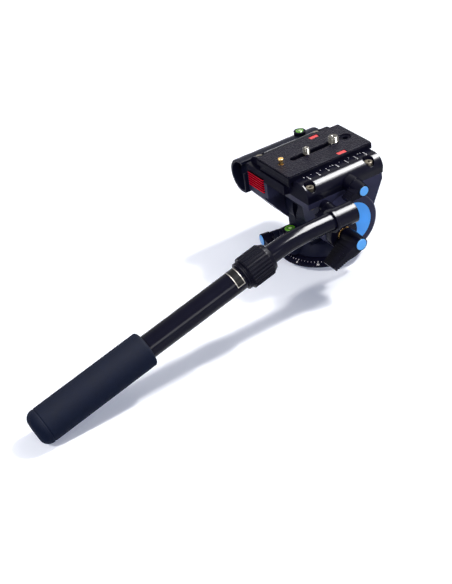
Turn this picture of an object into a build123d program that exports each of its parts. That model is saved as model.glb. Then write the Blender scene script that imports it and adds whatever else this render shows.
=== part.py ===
"""Fluid video head: pan base, tilt head with quick release plate, and telescoping pan bar.

Origin on the pan axis at the underside of the base. +Z is up, +Y is the lens
direction, +X is the side that carries the pan bar. Millimetres.
"""

import math
import os

from build123d import *

os.makedirs("parts", exist_ok=True)

# Shared fits
RUN = 0.06
SEAT = 0.04
GAP = 0.3
OVERRUN = 1.0
SOFT_EDGE = 0.6

# Base plate, scale ring and pan spindle
BASE_R = 30.0
BASE_H = 7.0
HUB_R = 13.0
HUB_TOP = 12.0
TRIPOD_THREAD_R = 9.525 / 2
TRIPOD_THREAD_DEPTH = 10.5
RING_R = 40.0
RING_RIM_H = 1.6
RING_INNER_R = 31.0
SPINDLE_FLANGE_R = 12.0
SPINDLE_FLANGE_H = 3.0
SPINDLE_R = 8.0
SPINDLE_SHOULDER_Z = 33.4
SPINDLE_TOP_Z = 40.0
SPINDLE_THREAD_R = 6.0
BASE_SCREW_R = 1.5
BASE_SCREW_HEAD_R = 2.7
BASE_SCREW_HEAD_H = 2.0
BASE_SCREW_CIRCLE_R = 9.0
BASE_SCREW_COUNT = 3
PAN_NUT_R = 10.0
PAN_NUT_H = 5.0
PAN_ROTOR_R = 12.4
PAN_ROTOR_Z = 21.0
PAN_ROTOR_H = 6.4
BUSH_H = 5.2
ROTOR_GROOVE = 1.0
ROTOR_GROOVE_SHARES = (0.25, 0.75)

# Pan housing
PAN_BORE_R = 13.0
PAN_CAVITY_TOP = 40.6
FOOT_R = 31.0
FOOT_RIM_H = 1.9
FOOT_TOP_R = 25.5
FOOT_TOP_Z = 22.5
POST_HALF_X = 16.5
POST_HALF_Y = 22.0
DRUM_R = 24.0
RECESS_HALF_SHARE = 0.28
RECESS_DEPTH = 3.0
SHELF_BACK_Y = -37.0
SHELF_FRONT_Y = -12.0
SHELF_LEFT_X = -14.0
SHELF_RIGHT_X = 9.0
SHELF_TOP_Z = 32.0
SHELF_CORNER_R = 5.0

# Levels
PAN_LEVEL_X = -3.0
PAN_LEVEL_Y = -30.0
LEVEL_POD_R = 6.8
LEVEL_POD_H = 3.2
LEVEL_WALL = 1.9
LEVEL_CUP_DEPTH = 1.8
LEVEL_DOME = 0.5
TOP_LEVEL_X = -51.2
TOP_LEVEL_Y = 21.5
TOP_LEVEL_RISE = 3.0
TOP_LEVEL_POD_R = 5.6

# Tilt axis, shaft and the drag and spring units in the cheeks
TILT_Z = 52.0
CHEEK_R = 26.0
CHEEK_IN = 17.0
CHEEK_OUT = 43.0
CHEEK_WALL = 4.0
CHEEK_BORE_R = 15.0
SHAFT_R = 6.0
SHAFT_END = 42.0
TILT_BUSH_R = 10.0
TILT_NUT_R = 9.0
TILT_NUT_H = 4.5
ROTOR_HUB_R = 8.0
ROTOR_FIN_R = 13.4
ROTOR_FIN_T = 2.0
DRAG_FIN_PITCH = 6.0
STATOR_SLEEVE_R = 14.2
STATOR_RING_R = 8.6
SPRING_COIL_R = 12.2
SPRING_WIRE_R = 1.2
SPRING_PITCH = 4.6
SPRING_LENGTH = 14.0

# Cradle under the platform
CRADLE_TOP_Z = 82.0
CRADLE_SLAB_Z = 76.6
CRADLE_BACK_Y = -38.0
CRADLE_FRONT_Y = 41.0
CHEEK_FRONT_CORNER_Z = 76.5
LEFT_REAR_CORNER_Y = -43.0
LEFT_REAR_CORNER_Z = 64.0
RIGHT_REAR_CORNER_Y = -28.0
RIGHT_REAR_CORNER_Z = 69.0
BUTTON_WALL_Z = 66.5
BUTTON_WALL_RIGHT_X = -12.5
BUTTON_WALL_DEPTH = 12.0

# Side covers of the tilt housing
COVER_RIGHT_T = 9.0
COVER_LEFT_T = 4.5
COVER_EDGE = 1.6
BADGE_R = 19.3
BADGE_RECESS = 1.2
BADGE_T = 1.3
COVER_SCREW_CIRCLE_R = 17.1
COVER_SCREW_R = 1.25
COVER_SCREW_HEAD_R = 2.1
COVER_SCREW_HEAD_H = 1.5
COVER_SCREW_LENGTH = 12.0
COVER_SCREW_ANGLES = (-60.0, 0.0, 60.0)
ROSETTE_Y = -15.5
ROSETTE_R = 13.0
ROSETTE_BOSS_R = 14.2
ROSETTE_T = 1.5
ROSETTE_TEETH = 36
ROSETTE_TOOTH_DEPTH = 0.5

# Platform and its dovetail channel
PLATFORM_FRONT_Y = 42.0
PLATFORM_BACK_Y = -38.0
RAIL_OUTER_X = 44.0
RAIL_ROUND_R = 10.5
RAIL_TOP_Z = 98.5
RAIL_INNER_X = 25.2
PLATFORM_FLOOR_Z = 92.0
LIP_TOP_Z = 97.3
DOVETAIL_TOP_HALF = 20.5
DOVETAIL_FLARE = 2.5
REAR_WALL_Y = -43.0
REAR_WALL_LEFT_X = -43.0
REAR_WALL_RIGHT_X = 15.0
REAR_WALL_TOP_Z = 91.4
RAIL_SCREW_X = 38.3
RAIL_SCREW_YS = (-31.6, 30.6)
RAIL_POCKET_R = 5.0
RAIL_POCKET_Z = 91.8
RAIL_SCREW_HEAD_R = 3.5
RAIL_SCREW_HEAD_H = 3.6
RAIL_SCREW_R = 2.0
RAIL_SCREW_LENGTH = 18.0
HEX_SOCKET_R = 1.7

# Side housing left of the platform
SIDE_X = -49.0
SIDE_Z = 77.0
SIDE_R = 16.0
SIDE_WALL = 2.5
SIDE_BACK_Y = -47.0
SIDE_FRONT_Y = 41.0
SIDE_RECESS = 9.0
SIDE_PIN_R = 1.8
SIDE_PIN_RISE = -8.5
SIDE_PIN_INSET = 2.6

# Release button and safety catch
BUTTON_LEFT_X = -41.0
BUTTON_RIGHT_X = -17.4
BUTTON_BOTTOM_Z = 70.5
BUTTON_TOP_Z = 84.8
BUTTON_PROUD = 1.0
BUTTON_T = 5.0
BUTTON_TRAVEL = 3.0
BUTTON_GROOVES = 5
BUTTON_GROOVE_W = 0.9
RELEASE_SPRING_R = 2.4
RELEASE_WIRE_R = 0.35
CATCH_X = -12.0
CATCH_R = 2.4
CATCH_RISE = 1.8
CATCH_TRAVEL = 2.2
CATCH_BOTTOM_Z = 84.5

# Sliding clamp jaw
JAW_HALF_Y = 17.5
JAW_OUTER_X = 30.0
JAW_TRAVEL = 0.8
JAW_LUG_W = 11.0
JAW_LUG_X = 26.6
JAW_LUG_BOTTOM_Z = 83.4

# Quick release plate
PLATE_HALF_X = 24.75
PLATE_BACK_Y = -43.1
PLATE_FRONT_Y = 46.0
PLATE_SLAB_Z = 97.6
PLATE_SLAB_TOP_Z = 102.3
PAD_TOP_Z = 103.5
PAD_MARGIN = 0.6
PLATE_CORNER_R = 1.5
SLOT_BACK_Y = -24.0
SLOT_FRONT_Y = 28.0
SLOT_HALF_W = 3.4
SLOT_POCKET_HALF_W = 8.5
SLOT_POCKET_TOP_Z = 98.4
SLOT_POCKET_EXTRA = 4.2
CATCH_GROOVE_HALF_Y = 39.0
CATCH_GROOVE_DEPTH = 2.4
MARKER_X = 20.4
MARKER_Y = 16.0
MARKER_W = 5.4
MARKER_L = 9.4
MARKER_DROP = 0.8
PIN_HOLE_R = 2.6
PIN_HOLE_COUNTERBORE_R = 5.8
FRONT_PIN_HOLE_Y = 35.3

# Camera screws and video pin
QUARTER_Y = -6.5
QUARTER_R = 6.35 / 2
QUARTER_HEAD_R = 6.3
THREE_EIGHTHS_Y = 22.6
THREE_EIGHTHS_R = 9.525 / 2
THREE_EIGHTHS_HEAD_R = 7.8
CAMERA_HEAD_Z = 93.0
CAMERA_HEAD_TOP_Z = 97.0
CAMERA_SCREW_TOP_Z = 109.0
CAMERA_WASHER_R = 7.2
CAMERA_WASHER_T = 0.9
CAMERA_NECK_R = 3.0
COIN_SLOT_W = 1.4
COIN_SLOT_DEPTH = 1.6
VIDEO_PIN_Y = -33.5
VIDEO_PIN_R = 1.6
VIDEO_PIN_HEAD_R = 2.35
VIDEO_PIN_HEAD_T = 1.7
VIDEO_PIN_TOP_Z = 108.7
VIDEO_PIN_FLANGE_R = 3.3
VIDEO_PIN_FLANGE_T = 1.4
VIDEO_PIN_TRAVEL = 3.0
VIDEO_PIN_POCKET_R = 3.6

# Lock levers
PLATE_LEVER_Y = 5.2
PLATE_LEVER_Z = 87.0
TILT_LEVER_Y = -22.0
TILT_LEVER_Z = 75.0
PAN_LEVER_X = -20.0
PAN_LEVER_Z = 22.4
PAN_LEVER_SKEW = 10.0
PAN_BOSS_R = 5.2
PAN_BOSS_Y = -38.3
PAN_BOSS_L = 24.0
LEVER_STUD_R = 2.5
LEVER_CAP_RIM = 1.0
LEVER_EDGE = 0.5
LEVER_RIB_DEPTH = 0.5
LEVER_RIB_W = 1.0
LEVER_ROOT_SHARE = 0.72
LEVER_TIP_SHARE = 0.42
CAP_T = 1.1
STUD_LENGTH = 14.0
SHORT_STUD_LENGTH = 13.0
TILT_NECK_R = 5.5
TILT_HUB_R = 5.5
TILT_CAP_R = 3.4
TILT_HUB_RING = 4.4
TILT_HUB_H = 14.9
TILT_REACH = 14.0
TILT_TIP_LOW = 5.0
TILT_TIP_HIGH = 13.7
TILT_LEVER_ANGLE = 190.0
PLATE_NECK_R = 7.6
PLATE_HUB_R = 6.8
PLATE_CAP_R = 4.3
PLATE_HUB_RING = 7.7
PLATE_HUB_H = 20.0
PLATE_REACH = 15.3
PLATE_TIP_LOW = 7.0
PLATE_TIP_HIGH = 16.0
PLATE_LEVER_ANGLE = 207.0
PAN_NECK_R = 5.0
PAN_HUB_R = 5.8
PAN_CAP_R = 4.8
PAN_HUB_RING = 3.0
PAN_HUB_H = 11.0
PAN_REACH = 22.0
PAN_TIP_LOW = 3.6
PAN_TIP_HIGH = 9.6
BAR_NECK_R = 5.4
BAR_HUB_R = 7.3
BAR_CAP_R = 5.0
BAR_HUB_RING = 2.2
BAR_HUB_H = 22.4
BAR_REACH = 30.3
BAR_TIP_LOW = 1.6
BAR_TIP_HIGH = 16.6
BAR_LEVER_ANGLE = 215.0
SHORT_LEVER_RIBS = 4
LONG_LEVER_RIBS = 10

# Bar bracket, arm and telescoping bar
BAR_X = 72.0
BAR_Z = 78.2
BARREL_R = 9.5
BARREL_FRONT_Y = -13.5
BARREL_BACK_Y = -36.0
BARREL_LIP_R = 10.3
BARREL_LIP_L = 2.6
BARREL_FLOOR = 2.0
BRACKET_DISC_R = 14.0
BRACKET_FACE_X = 60.0
BRACKET_NECK_BACK_Y = -28.0
BRACKET_NECK_FRONT_Y = -14.5
NECK_XS = (55.5, 57.0, 61.5, 62.5, 72.0, 67.0, 60.0, 60.0)
NECK_ZS = (54.0, 65.0, 70.0, 78.0, 78.0, 68.0, 60.0, 54.0)
BRASS_WASHER_R = 6.6
BRASS_WASHER_T = 1.3
ARM_R = 8.0
ARM_WALL = 1.5
ARM_BEND_Y = -58.5
ARM_BEND_R = 150.0
BAR_SLOPE = 14.7
ARM_STRAIGHT = 165.0
TUBE_R = 10.15
TUBE_START = 5.0
TUBE_END = 228.0
COLLAR_START = 3.0
COLLAR_END = 27.0
COLLAR_R = 14.3
COLLAR_NOSE_R = 11.6
COLLAR_TAIL_R = 12.2
COLLAR_TAIL_END = 31.5
COLLAR_RIBS = 30
COLLAR_RIB_R = 0.75
COLLAR_TAPER_L = 4.0
TAIL_RINGS = 2
TAIL_RING_GROOVE = 0.5
COLLET_START = 6.0
COLLET_LENGTH = 20.0
COLLET_R = 11.0
COLLET_SLIT = 1.0
GRIP_START = 127.5
GRIP_END = 236.0
GRIP_R = 15.3
GRIP_ROUND = 8.0
GRIP_MOUTH_ROUND = 2.5
GRIP_LIP_S = 226.0
GRIP_LIP_DEPTH = 0.4
GRIP_LIP_W = 1.2


def station(distance):
    """Plane square to the telescoping bar, a distance past the end of the arm's bend."""
    slope = math.radians(BAR_SLOPE)
    bend_y = ARM_BEND_Y - ARM_BEND_R * math.sin(slope)
    bend_z = BAR_Z - ARM_BEND_R * (1 - math.cos(slope))
    y = bend_y - distance * math.cos(slope)
    z = bend_z - distance * math.sin(slope)
    return Plane(origin=(BAR_X, y, z), x_dir=(1, 0, 0), z_dir=(0, -math.cos(slope), -math.sin(slope)))


def yz_at(x):
    """Plane at a given X whose local axes are the object's Y and Z."""
    return Plane.YZ.offset(x)


def coil_spring(plane, coil_r, wire_r, pitch, length):
    """Open coil of round wire that starts on a plane and winds along its normal."""
    with BuildPart() as coil:
        with BuildLine() as path:
            Helix(pitch, length, coil_r, center=plane.origin, direction=plane.z_dir)
        with BuildSketch(Plane(origin=path.line @ 0, z_dir=path.line % 0)):
            Circle(wire_r)
        sweep(is_frenet=True)
    return coil


def lever_handle(plane, neck_r, hub_r, cap_r, ring_h, height, reach, tip_low, tip_high, ribs):
    """Ratchet lever: a neck on the plane, a hub that narrows to its cap, and a ribbed paddle along X."""
    side = Plane(origin=plane.origin, x_dir=plane.y_dir, z_dir=plane.x_dir)
    root_t = 2 * hub_r * LEVER_ROOT_SHARE
    tip_t = 2 * hub_r * LEVER_ROOT_SHARE * LEVER_TIP_SHARE
    with BuildPart() as handle:
        with BuildSketch(plane.offset(ring_h)):
            Circle(hub_r)
        with BuildSketch(plane.offset(height)):
            Circle(cap_r + LEVER_CAP_RIM)
        loft()
        with BuildSketch(plane):
            Circle(neck_r)
        extrude(amount=ring_h + OVERRUN)
        with BuildSketch(side):
            with Locations((0, (ring_h + height) / 2)):
                Rectangle(root_t, height - ring_h)
        with BuildSketch(side.offset(reach)):
            with Locations((0, (tip_low + tip_high) / 2)):
                Rectangle(tip_t, tip_high - tip_low)
        loft()
        rib_pitch = (reach - hub_r) / (ribs + 1)
        for number in range(ribs):
            rib_x = hub_r + rib_pitch * (number + 1)
            half_t = root_t / 2 + (tip_t - root_t) / 2 * rib_x / reach
            with BuildSketch(plane):
                with Locations((rib_x, half_t), (rib_x, -half_t)):
                    Rectangle(LEVER_RIB_W, 2 * LEVER_RIB_DEPTH)
            extrude(amount=height - OVERRUN, mode=Mode.SUBTRACT)
        with BuildSketch(plane.offset(height)):
            Circle(cap_r)
        extrude(amount=-CAP_T, mode=Mode.SUBTRACT)
        with BuildSketch(plane):
            Circle(LEVER_STUD_R + SEAT)
        extrude(amount=height - 2 * CAP_T, mode=Mode.SUBTRACT)
    return handle


def lever_cap(plane, cap_r, height):
    """Coloured button that closes the outer end of a lever's hub."""
    with BuildPart() as cap:
        with BuildSketch(plane.offset(height - CAP_T)):
            Circle(cap_r - SEAT)
        extrude(amount=CAP_T + LEVER_EDGE)
        rims = cap.edges().filter_by(GeomType.CIRCLE)
        fillet(rims.sort_by(Axis(plane.origin, plane.z_dir))[-1], LEVER_EDGE / 2)
    return cap


def lever_stud(plane, height, length):
    """Clamping stud from inside a lever's hub back through the plane."""
    with BuildPart() as stud:
        with BuildSketch(plane.offset(height - 2 * CAP_T - GAP)):
            Circle(LEVER_STUD_R)
        extrude(amount=-(length + height - 2 * CAP_T - GAP))
    return stud


def bubble_level(x, y, top, pod_r):
    """Cup and vial of a circular spirit level with a vertical axis."""
    with BuildPart() as pod:
        with BuildSketch(Plane(origin=(x, y, top - LEVEL_POD_H))):
            Circle(pod_r)
        extrude(amount=LEVEL_POD_H)
        with BuildSketch(Plane(origin=(x, y, top))):
            Circle(pod_r - LEVEL_WALL)
        extrude(amount=-LEVEL_CUP_DEPTH, mode=Mode.SUBTRACT)
    with BuildPart() as vial:
        with BuildSketch(Plane(origin=(x, y, top - LEVEL_CUP_DEPTH))):
            Circle(pod_r - LEVEL_WALL - SEAT)
        extrude(amount=LEVEL_CUP_DEPTH + LEVEL_DOME)
        fillet(vial.edges().sort_by(Axis.Z)[-1], LEVEL_DOME)
    return pod, vial


def lever_plane(x, y, z, angle):
    """Plane square to X whose own X points along a lever's paddle, by its angle above +Y."""
    turn = math.radians(angle)
    return Plane(origin=(x, y, z), x_dir=(0, math.cos(turn), math.sin(turn)), z_dir=(1, 0, 0))


# Base plate with the tripod thread, its central hub carries the spindle
base_screw_spots = PolarLocations(BASE_SCREW_CIRCLE_R, BASE_SCREW_COUNT)

with BuildPart() as base_plate:
    with BuildSketch():
        Circle(BASE_R)
    extrude(amount=BASE_H)
    with BuildSketch():
        Circle(HUB_R)
    extrude(amount=HUB_TOP)
    with BuildSketch():
        Circle(TRIPOD_THREAD_R)
    extrude(amount=TRIPOD_THREAD_DEPTH, mode=Mode.SUBTRACT)
    with BuildSketch():
        with base_screw_spots:
            Circle(BASE_SCREW_R + SEAT)
    extrude(amount=HUB_TOP, mode=Mode.SUBTRACT)
    with BuildSketch():
        with base_screw_spots:
            Circle(BASE_SCREW_HEAD_R + SEAT)
    extrude(amount=BASE_SCREW_HEAD_H + SOFT_EDGE, mode=Mode.SUBTRACT)
    chamfer(base_plate.edges().group_by(Axis.Z)[0].sort_by(SortBy.RADIUS)[-1], SOFT_EDGE)
base_plate.part.label = "base_plate"
export_step(base_plate.part, "parts/base_plate.step")

# Scale ring: short rim and a cone that carries the degree scale
with BuildPart() as scale_ring:
    with BuildSketch(Plane.XZ):
        with BuildLine():
            Polyline(
                (HUB_R + SEAT, BASE_H),
                (RING_R, BASE_H),
                (RING_R, BASE_H + RING_RIM_H),
                (RING_INNER_R, HUB_TOP),
                (HUB_R + SEAT, HUB_TOP),
                close=True,
            )
        make_face()
    revolve(axis=Axis.Z)
scale_ring.part.label = "scale_ring"
export_step(scale_ring.part, "parts/scale_ring.step")

# Pan spindle: flange on the hub, bearing shaft and threaded end
with BuildPart() as pan_spindle:
    with BuildSketch(Plane.XY.offset(HUB_TOP)):
        Circle(SPINDLE_FLANGE_R)
        with base_screw_spots:
            Circle(BASE_SCREW_R + SEAT, mode=Mode.SUBTRACT)
    extrude(amount=SPINDLE_FLANGE_H)
    with BuildSketch(Plane.XY.offset(HUB_TOP)):
        Circle(SPINDLE_THREAD_R)
    extrude(amount=SPINDLE_TOP_Z - HUB_TOP)
    with BuildSketch(Plane.XY.offset(HUB_TOP + SPINDLE_FLANGE_H)):
        Circle(SPINDLE_R)
    extrude(amount=SPINDLE_SHOULDER_Z - HUB_TOP - SPINDLE_FLANGE_H)
pan_spindle.part.label = "pan_spindle"
export_step(pan_spindle.part, "parts/pan_spindle.step")

# Finned drag rotor, fixed on the spindle between the two bushes
with BuildPart() as pan_drag_rotor:
    with BuildSketch(Plane.XY.offset(PAN_ROTOR_Z)):
        Circle(PAN_ROTOR_R)
        Circle(SPINDLE_R + SEAT, mode=Mode.SUBTRACT)
    extrude(amount=PAN_ROTOR_H)
    for groove_share in ROTOR_GROOVE_SHARES:
        with BuildSketch(Plane.XY.offset(PAN_ROTOR_Z + PAN_ROTOR_H * groove_share - ROTOR_GROOVE / 2)):
            Circle(PAN_ROTOR_R + OVERRUN)
            Circle(PAN_ROTOR_R - ROTOR_GROOVE, mode=Mode.SUBTRACT)
        extrude(amount=ROTOR_GROOVE, mode=Mode.SUBTRACT)
pan_drag_rotor.part.label = "pan_drag_rotor"
export_step(pan_drag_rotor.part, "parts/pan_drag_rotor.step")

# Nut that holds the pan housing down on the spindle
with BuildPart() as pan_nut:
    with BuildSketch(Plane.XY.offset(SPINDLE_SHOULDER_Z)):
        RegularPolygon(PAN_NUT_R, 6)
        Circle(SPINDLE_THREAD_R + SEAT, mode=Mode.SUBTRACT)
    extrude(amount=PAN_NUT_H)
pan_nut.part.label = "pan_nut"
export_step(pan_nut.part, "parts/pan_nut.step")

# Screws from under the base into the spindle flange
with BuildPart() as base_screws:
    with BuildSketch(Plane.XY.offset(SOFT_EDGE)):
        with base_screw_spots:
            Circle(BASE_SCREW_HEAD_R)
    extrude(amount=BASE_SCREW_HEAD_H)
    with BuildSketch(Plane.XY.offset(SOFT_EDGE)):
        with base_screw_spots:
            Circle(BASE_SCREW_R)
    extrude(amount=HUB_TOP + SPINDLE_FLANGE_H - 2 * SOFT_EDGE)
base_screws.part.label = "base_screws"
export_step(base_screws.part, "parts/base_screws.step")

# Pan housing: conical foot, post, and the drum that the cradle straddles
housing_bottom = HUB_TOP + GAP
pan_skew = math.radians(PAN_LEVER_SKEW)
pan_boss_face = Plane(
    origin=(PAN_LEVER_X, PAN_BOSS_Y, PAN_LEVER_Z),
    x_dir=(math.cos(pan_skew), -math.sin(pan_skew), 0),
    z_dir=(-math.sin(pan_skew), -math.cos(pan_skew), 0),
)

with BuildPart() as pan_housing:
    with BuildSketch(Plane.XZ):
        with BuildLine():
            Polyline(
                (0, housing_bottom),
                (FOOT_R, housing_bottom),
                (FOOT_R, housing_bottom + FOOT_RIM_H),
                (FOOT_TOP_R, FOOT_TOP_Z),
                (0, FOOT_TOP_Z),
                close=True,
            )
        make_face()
    revolve(axis=Axis.Z)
    with BuildSketch(yz_at(-POST_HALF_X)):
        with Locations((0, TILT_Z)):
            Circle(DRUM_R)
        with Locations((0, (FOOT_TOP_Z + TILT_Z) / 2)):
            Rectangle(2 * POST_HALF_Y, TILT_Z - FOOT_TOP_Z)
    extrude(amount=2 * POST_HALF_X)
    with BuildSketch(Plane.XY.offset(housing_bottom + FOOT_RIM_H)):
        with Locations(((SHELF_LEFT_X + SHELF_RIGHT_X) / 2, (SHELF_BACK_Y + SHELF_FRONT_Y) / 2)):
            RectangleRounded(SHELF_RIGHT_X - SHELF_LEFT_X, SHELF_FRONT_Y - SHELF_BACK_Y, SHELF_CORNER_R)
    extrude(amount=SHELF_TOP_Z - housing_bottom - FOOT_RIM_H)
    with BuildSketch(pan_boss_face):
        Circle(PAN_BOSS_R)
    extrude(amount=-PAN_BOSS_L)
    with BuildSketch(Plane.XY.offset(housing_bottom)):
        Circle(PAN_BORE_R)
    extrude(amount=PAN_CAVITY_TOP - housing_bottom, mode=Mode.SUBTRACT)
    with BuildSketch(yz_at(-POST_HALF_X)):
        with Locations((0, TILT_Z)):
            Circle(SHAFT_R + SEAT)
    extrude(amount=2 * POST_HALF_X, mode=Mode.SUBTRACT)
    with BuildSketch(pan_boss_face):
        Circle(LEVER_STUD_R + RUN)
    extrude(amount=-STUD_LENGTH, mode=Mode.SUBTRACT)
    with BuildSketch(Plane.XZ.offset(DRUM_R + OVERRUN)):
        with BuildLine():
            recess_top_z = TILT_Z + DRUM_R * RECESS_HALF_SHARE
            recess_low_z = TILT_Z - DRUM_R * 2 * RECESS_HALF_SHARE
            recess_x = POST_HALF_X * RECESS_HALF_SHARE
            Polyline(
                (-recess_x, recess_top_z),
                (recess_x, recess_top_z),
                (-recess_x, recess_low_z),
                close=True,
            )
        make_face()
    extrude(amount=-(OVERRUN + RECESS_DEPTH + DRUM_R - POST_HALF_Y), mode=Mode.SUBTRACT)
pan_housing.part.label = "pan_housing"
export_step(pan_housing.part, "parts/pan_housing.step")

# Plain bushes pressed in the housing above and below the drag rotor
with BuildPart() as pan_bushes:
    bush_floors = (HUB_TOP + SPINDLE_FLANGE_H + GAP, SPINDLE_SHOULDER_Z - GAP - BUSH_H)
    for bush_floor in bush_floors:
        with BuildSketch(Plane.XY.offset(bush_floor)):
            Circle(PAN_BORE_R - SEAT)
            Circle(SPINDLE_R + RUN, mode=Mode.SUBTRACT)
        extrude(amount=BUSH_H)
pan_bushes.part.label = "pan_bushes"
export_step(pan_bushes.part, "parts/pan_bushes.step")

# Level on the shelf behind the post
pan_level_pod, pan_level_vial = bubble_level(
    PAN_LEVEL_X, PAN_LEVEL_Y, SHELF_TOP_Z + LEVEL_POD_H, LEVEL_POD_R
)
pan_level_pod.part.label = "pan_level_pod"
export_step(pan_level_pod.part, "parts/pan_level_pod.step")
pan_level_vial.part.label = "pan_level_vial"
export_step(pan_level_vial.part, "parts/pan_level_vial.step")

# Tilt shaft, fixed in the drum, with a nut on each end
with BuildPart() as tilt_shaft:
    with BuildSketch(yz_at(-SHAFT_END)):
        with Locations((0, TILT_Z)):
            Circle(SHAFT_R)
    extrude(amount=2 * SHAFT_END)
    chamfer(tilt_shaft.edges().group_by(Axis.X)[0] + tilt_shaft.edges().group_by(Axis.X)[-1], SOFT_EDGE)
tilt_shaft.part.label = "tilt_shaft"
export_step(tilt_shaft.part, "parts/tilt_shaft.step")

with BuildPart() as tilt_shaft_nuts:
    for nut_x in (SHAFT_END - SOFT_EDGE - TILT_NUT_H, SOFT_EDGE - SHAFT_END):
        with BuildSketch(yz_at(nut_x)):
            with Locations((0, TILT_Z)):
                RegularPolygon(TILT_NUT_R, 6)
                Circle(SHAFT_R + SEAT, mode=Mode.SUBTRACT)
        extrude(amount=TILT_NUT_H)
tilt_shaft_nuts.part.label = "tilt_shaft_nuts"
export_step(tilt_shaft_nuts.part, "parts/tilt_shaft_nuts.step")

# Tilt drag unit in the right cheek: rotor fins on the shaft between stator rings
unit_start_x = CHEEK_IN + CHEEK_WALL + GAP
unit_length = SHAFT_END - SOFT_EDGE - TILT_NUT_H - unit_start_x
fin_xs = [unit_start_x + DRAG_FIN_PITCH / 2 + number * DRAG_FIN_PITCH for number in range(2)]

with BuildPart() as tilt_drag_rotor:
    with BuildSketch(yz_at(unit_start_x)):
        with Locations((0, TILT_Z)):
            Circle(ROTOR_HUB_R)
    extrude(amount=unit_length)
    for fin_x in fin_xs:
        with BuildSketch(yz_at(fin_x)):
            with Locations((0, TILT_Z)):
                Circle(ROTOR_FIN_R)
        extrude(amount=ROTOR_FIN_T)
    with BuildSketch(yz_at(unit_start_x)):
        with Locations((0, TILT_Z)):
            Circle(SHAFT_R + SEAT)
    extrude(amount=unit_length, mode=Mode.SUBTRACT)
tilt_drag_rotor.part.label = "tilt_drag_rotor"
export_step(tilt_drag_rotor.part, "parts/tilt_drag_rotor.step")

with BuildPart() as tilt_drag_stator:
    with BuildSketch(yz_at(unit_start_x - GAP)):
        with Locations((0, TILT_Z)):
            Circle(CHEEK_BORE_R - SEAT)
            Circle(STATOR_SLEEVE_R, mode=Mode.SUBTRACT)
    extrude(amount=unit_length)
    for fin_x in fin_xs:
        with BuildSketch(yz_at(fin_x + DRAG_FIN_PITCH / 2)):
            with Locations((0, TILT_Z)):
                Circle(CHEEK_BORE_R - SEAT)
                Circle(STATOR_RING_R, mode=Mode.SUBTRACT)
        extrude(amount=ROTOR_FIN_T)
tilt_drag_stator.part.label = "tilt_drag_stator"
export_step(tilt_drag_stator.part, "parts/tilt_drag_stator.step")

# Counterbalance spring round the shaft in the left cheek
spring_start_x = -CHEEK_IN - CHEEK_WALL - SPRING_LENGTH - SPRING_WIRE_R
counterbalance_spring = coil_spring(
    Plane(origin=(spring_start_x, 0, TILT_Z), x_dir=(0, 1, 0), z_dir=(1, 0, 0)),
    SPRING_COIL_R,
    SPRING_WIRE_R,
    SPRING_PITCH,
    SPRING_LENGTH,
)
counterbalance_spring.part.label = "counterbalance_spring"
export_step(counterbalance_spring.part, "parts/counterbalance_spring.step")

# Bushes in the inner walls of the cheeks
with BuildPart() as tilt_bushes:
    for bush_x in (CHEEK_IN, -CHEEK_IN - CHEEK_WALL):
        with BuildSketch(yz_at(bush_x)):
            with Locations((0, TILT_Z)):
                Circle(TILT_BUSH_R - SEAT)
                Circle(SHAFT_R + RUN, mode=Mode.SUBTRACT)
        extrude(amount=CHEEK_WALL)
tilt_bushes.part.label = "tilt_bushes"
export_step(tilt_bushes.part, "parts/tilt_bushes.step")


def cheek_profile(rear_y, rear_z):
    """Side outline of a cheek: the tilt circle joined to the platform by straight flanks."""
    with BuildSketch(Plane.XY) as outline:
        with Locations((0, TILT_Z)):
            Circle(CHEEK_R)
        with BuildLine():
            Polyline(
                (rear_y, rear_z),
                (rear_y, CRADLE_TOP_Z),
                (CRADLE_FRONT_Y, CRADLE_TOP_Z),
                (CRADLE_FRONT_Y, CHEEK_FRONT_CORNER_Z),
                close=True,
            )
        make_face()
        make_hull()
    return outline.sketch


def cover_screw_points():
    """Local places of the screws that hold a side cover to its cheek."""
    angles = [math.radians(a) for a in COVER_SCREW_ANGLES]
    return [(COVER_SCREW_CIRCLE_R * math.cos(a), TILT_Z + COVER_SCREW_CIRCLE_R * math.sin(a)) for a in angles]


pocket_depth = OVERRUN + BUTTON_T + BUTTON_TRAVEL + GAP
button_x = (BUTTON_LEFT_X + BUTTON_RIGHT_X) / 2
button_z = (BUTTON_BOTTOM_Z + BUTTON_TOP_Z) / 2
button_w = BUTTON_RIGHT_X - BUTTON_LEFT_X
button_h = BUTTON_TOP_Z - BUTTON_BOTTOM_Z
rail_screw_spots = [(side * RAIL_SCREW_X, y) for side in (-1, 1) for y in RAIL_SCREW_YS]

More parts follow.
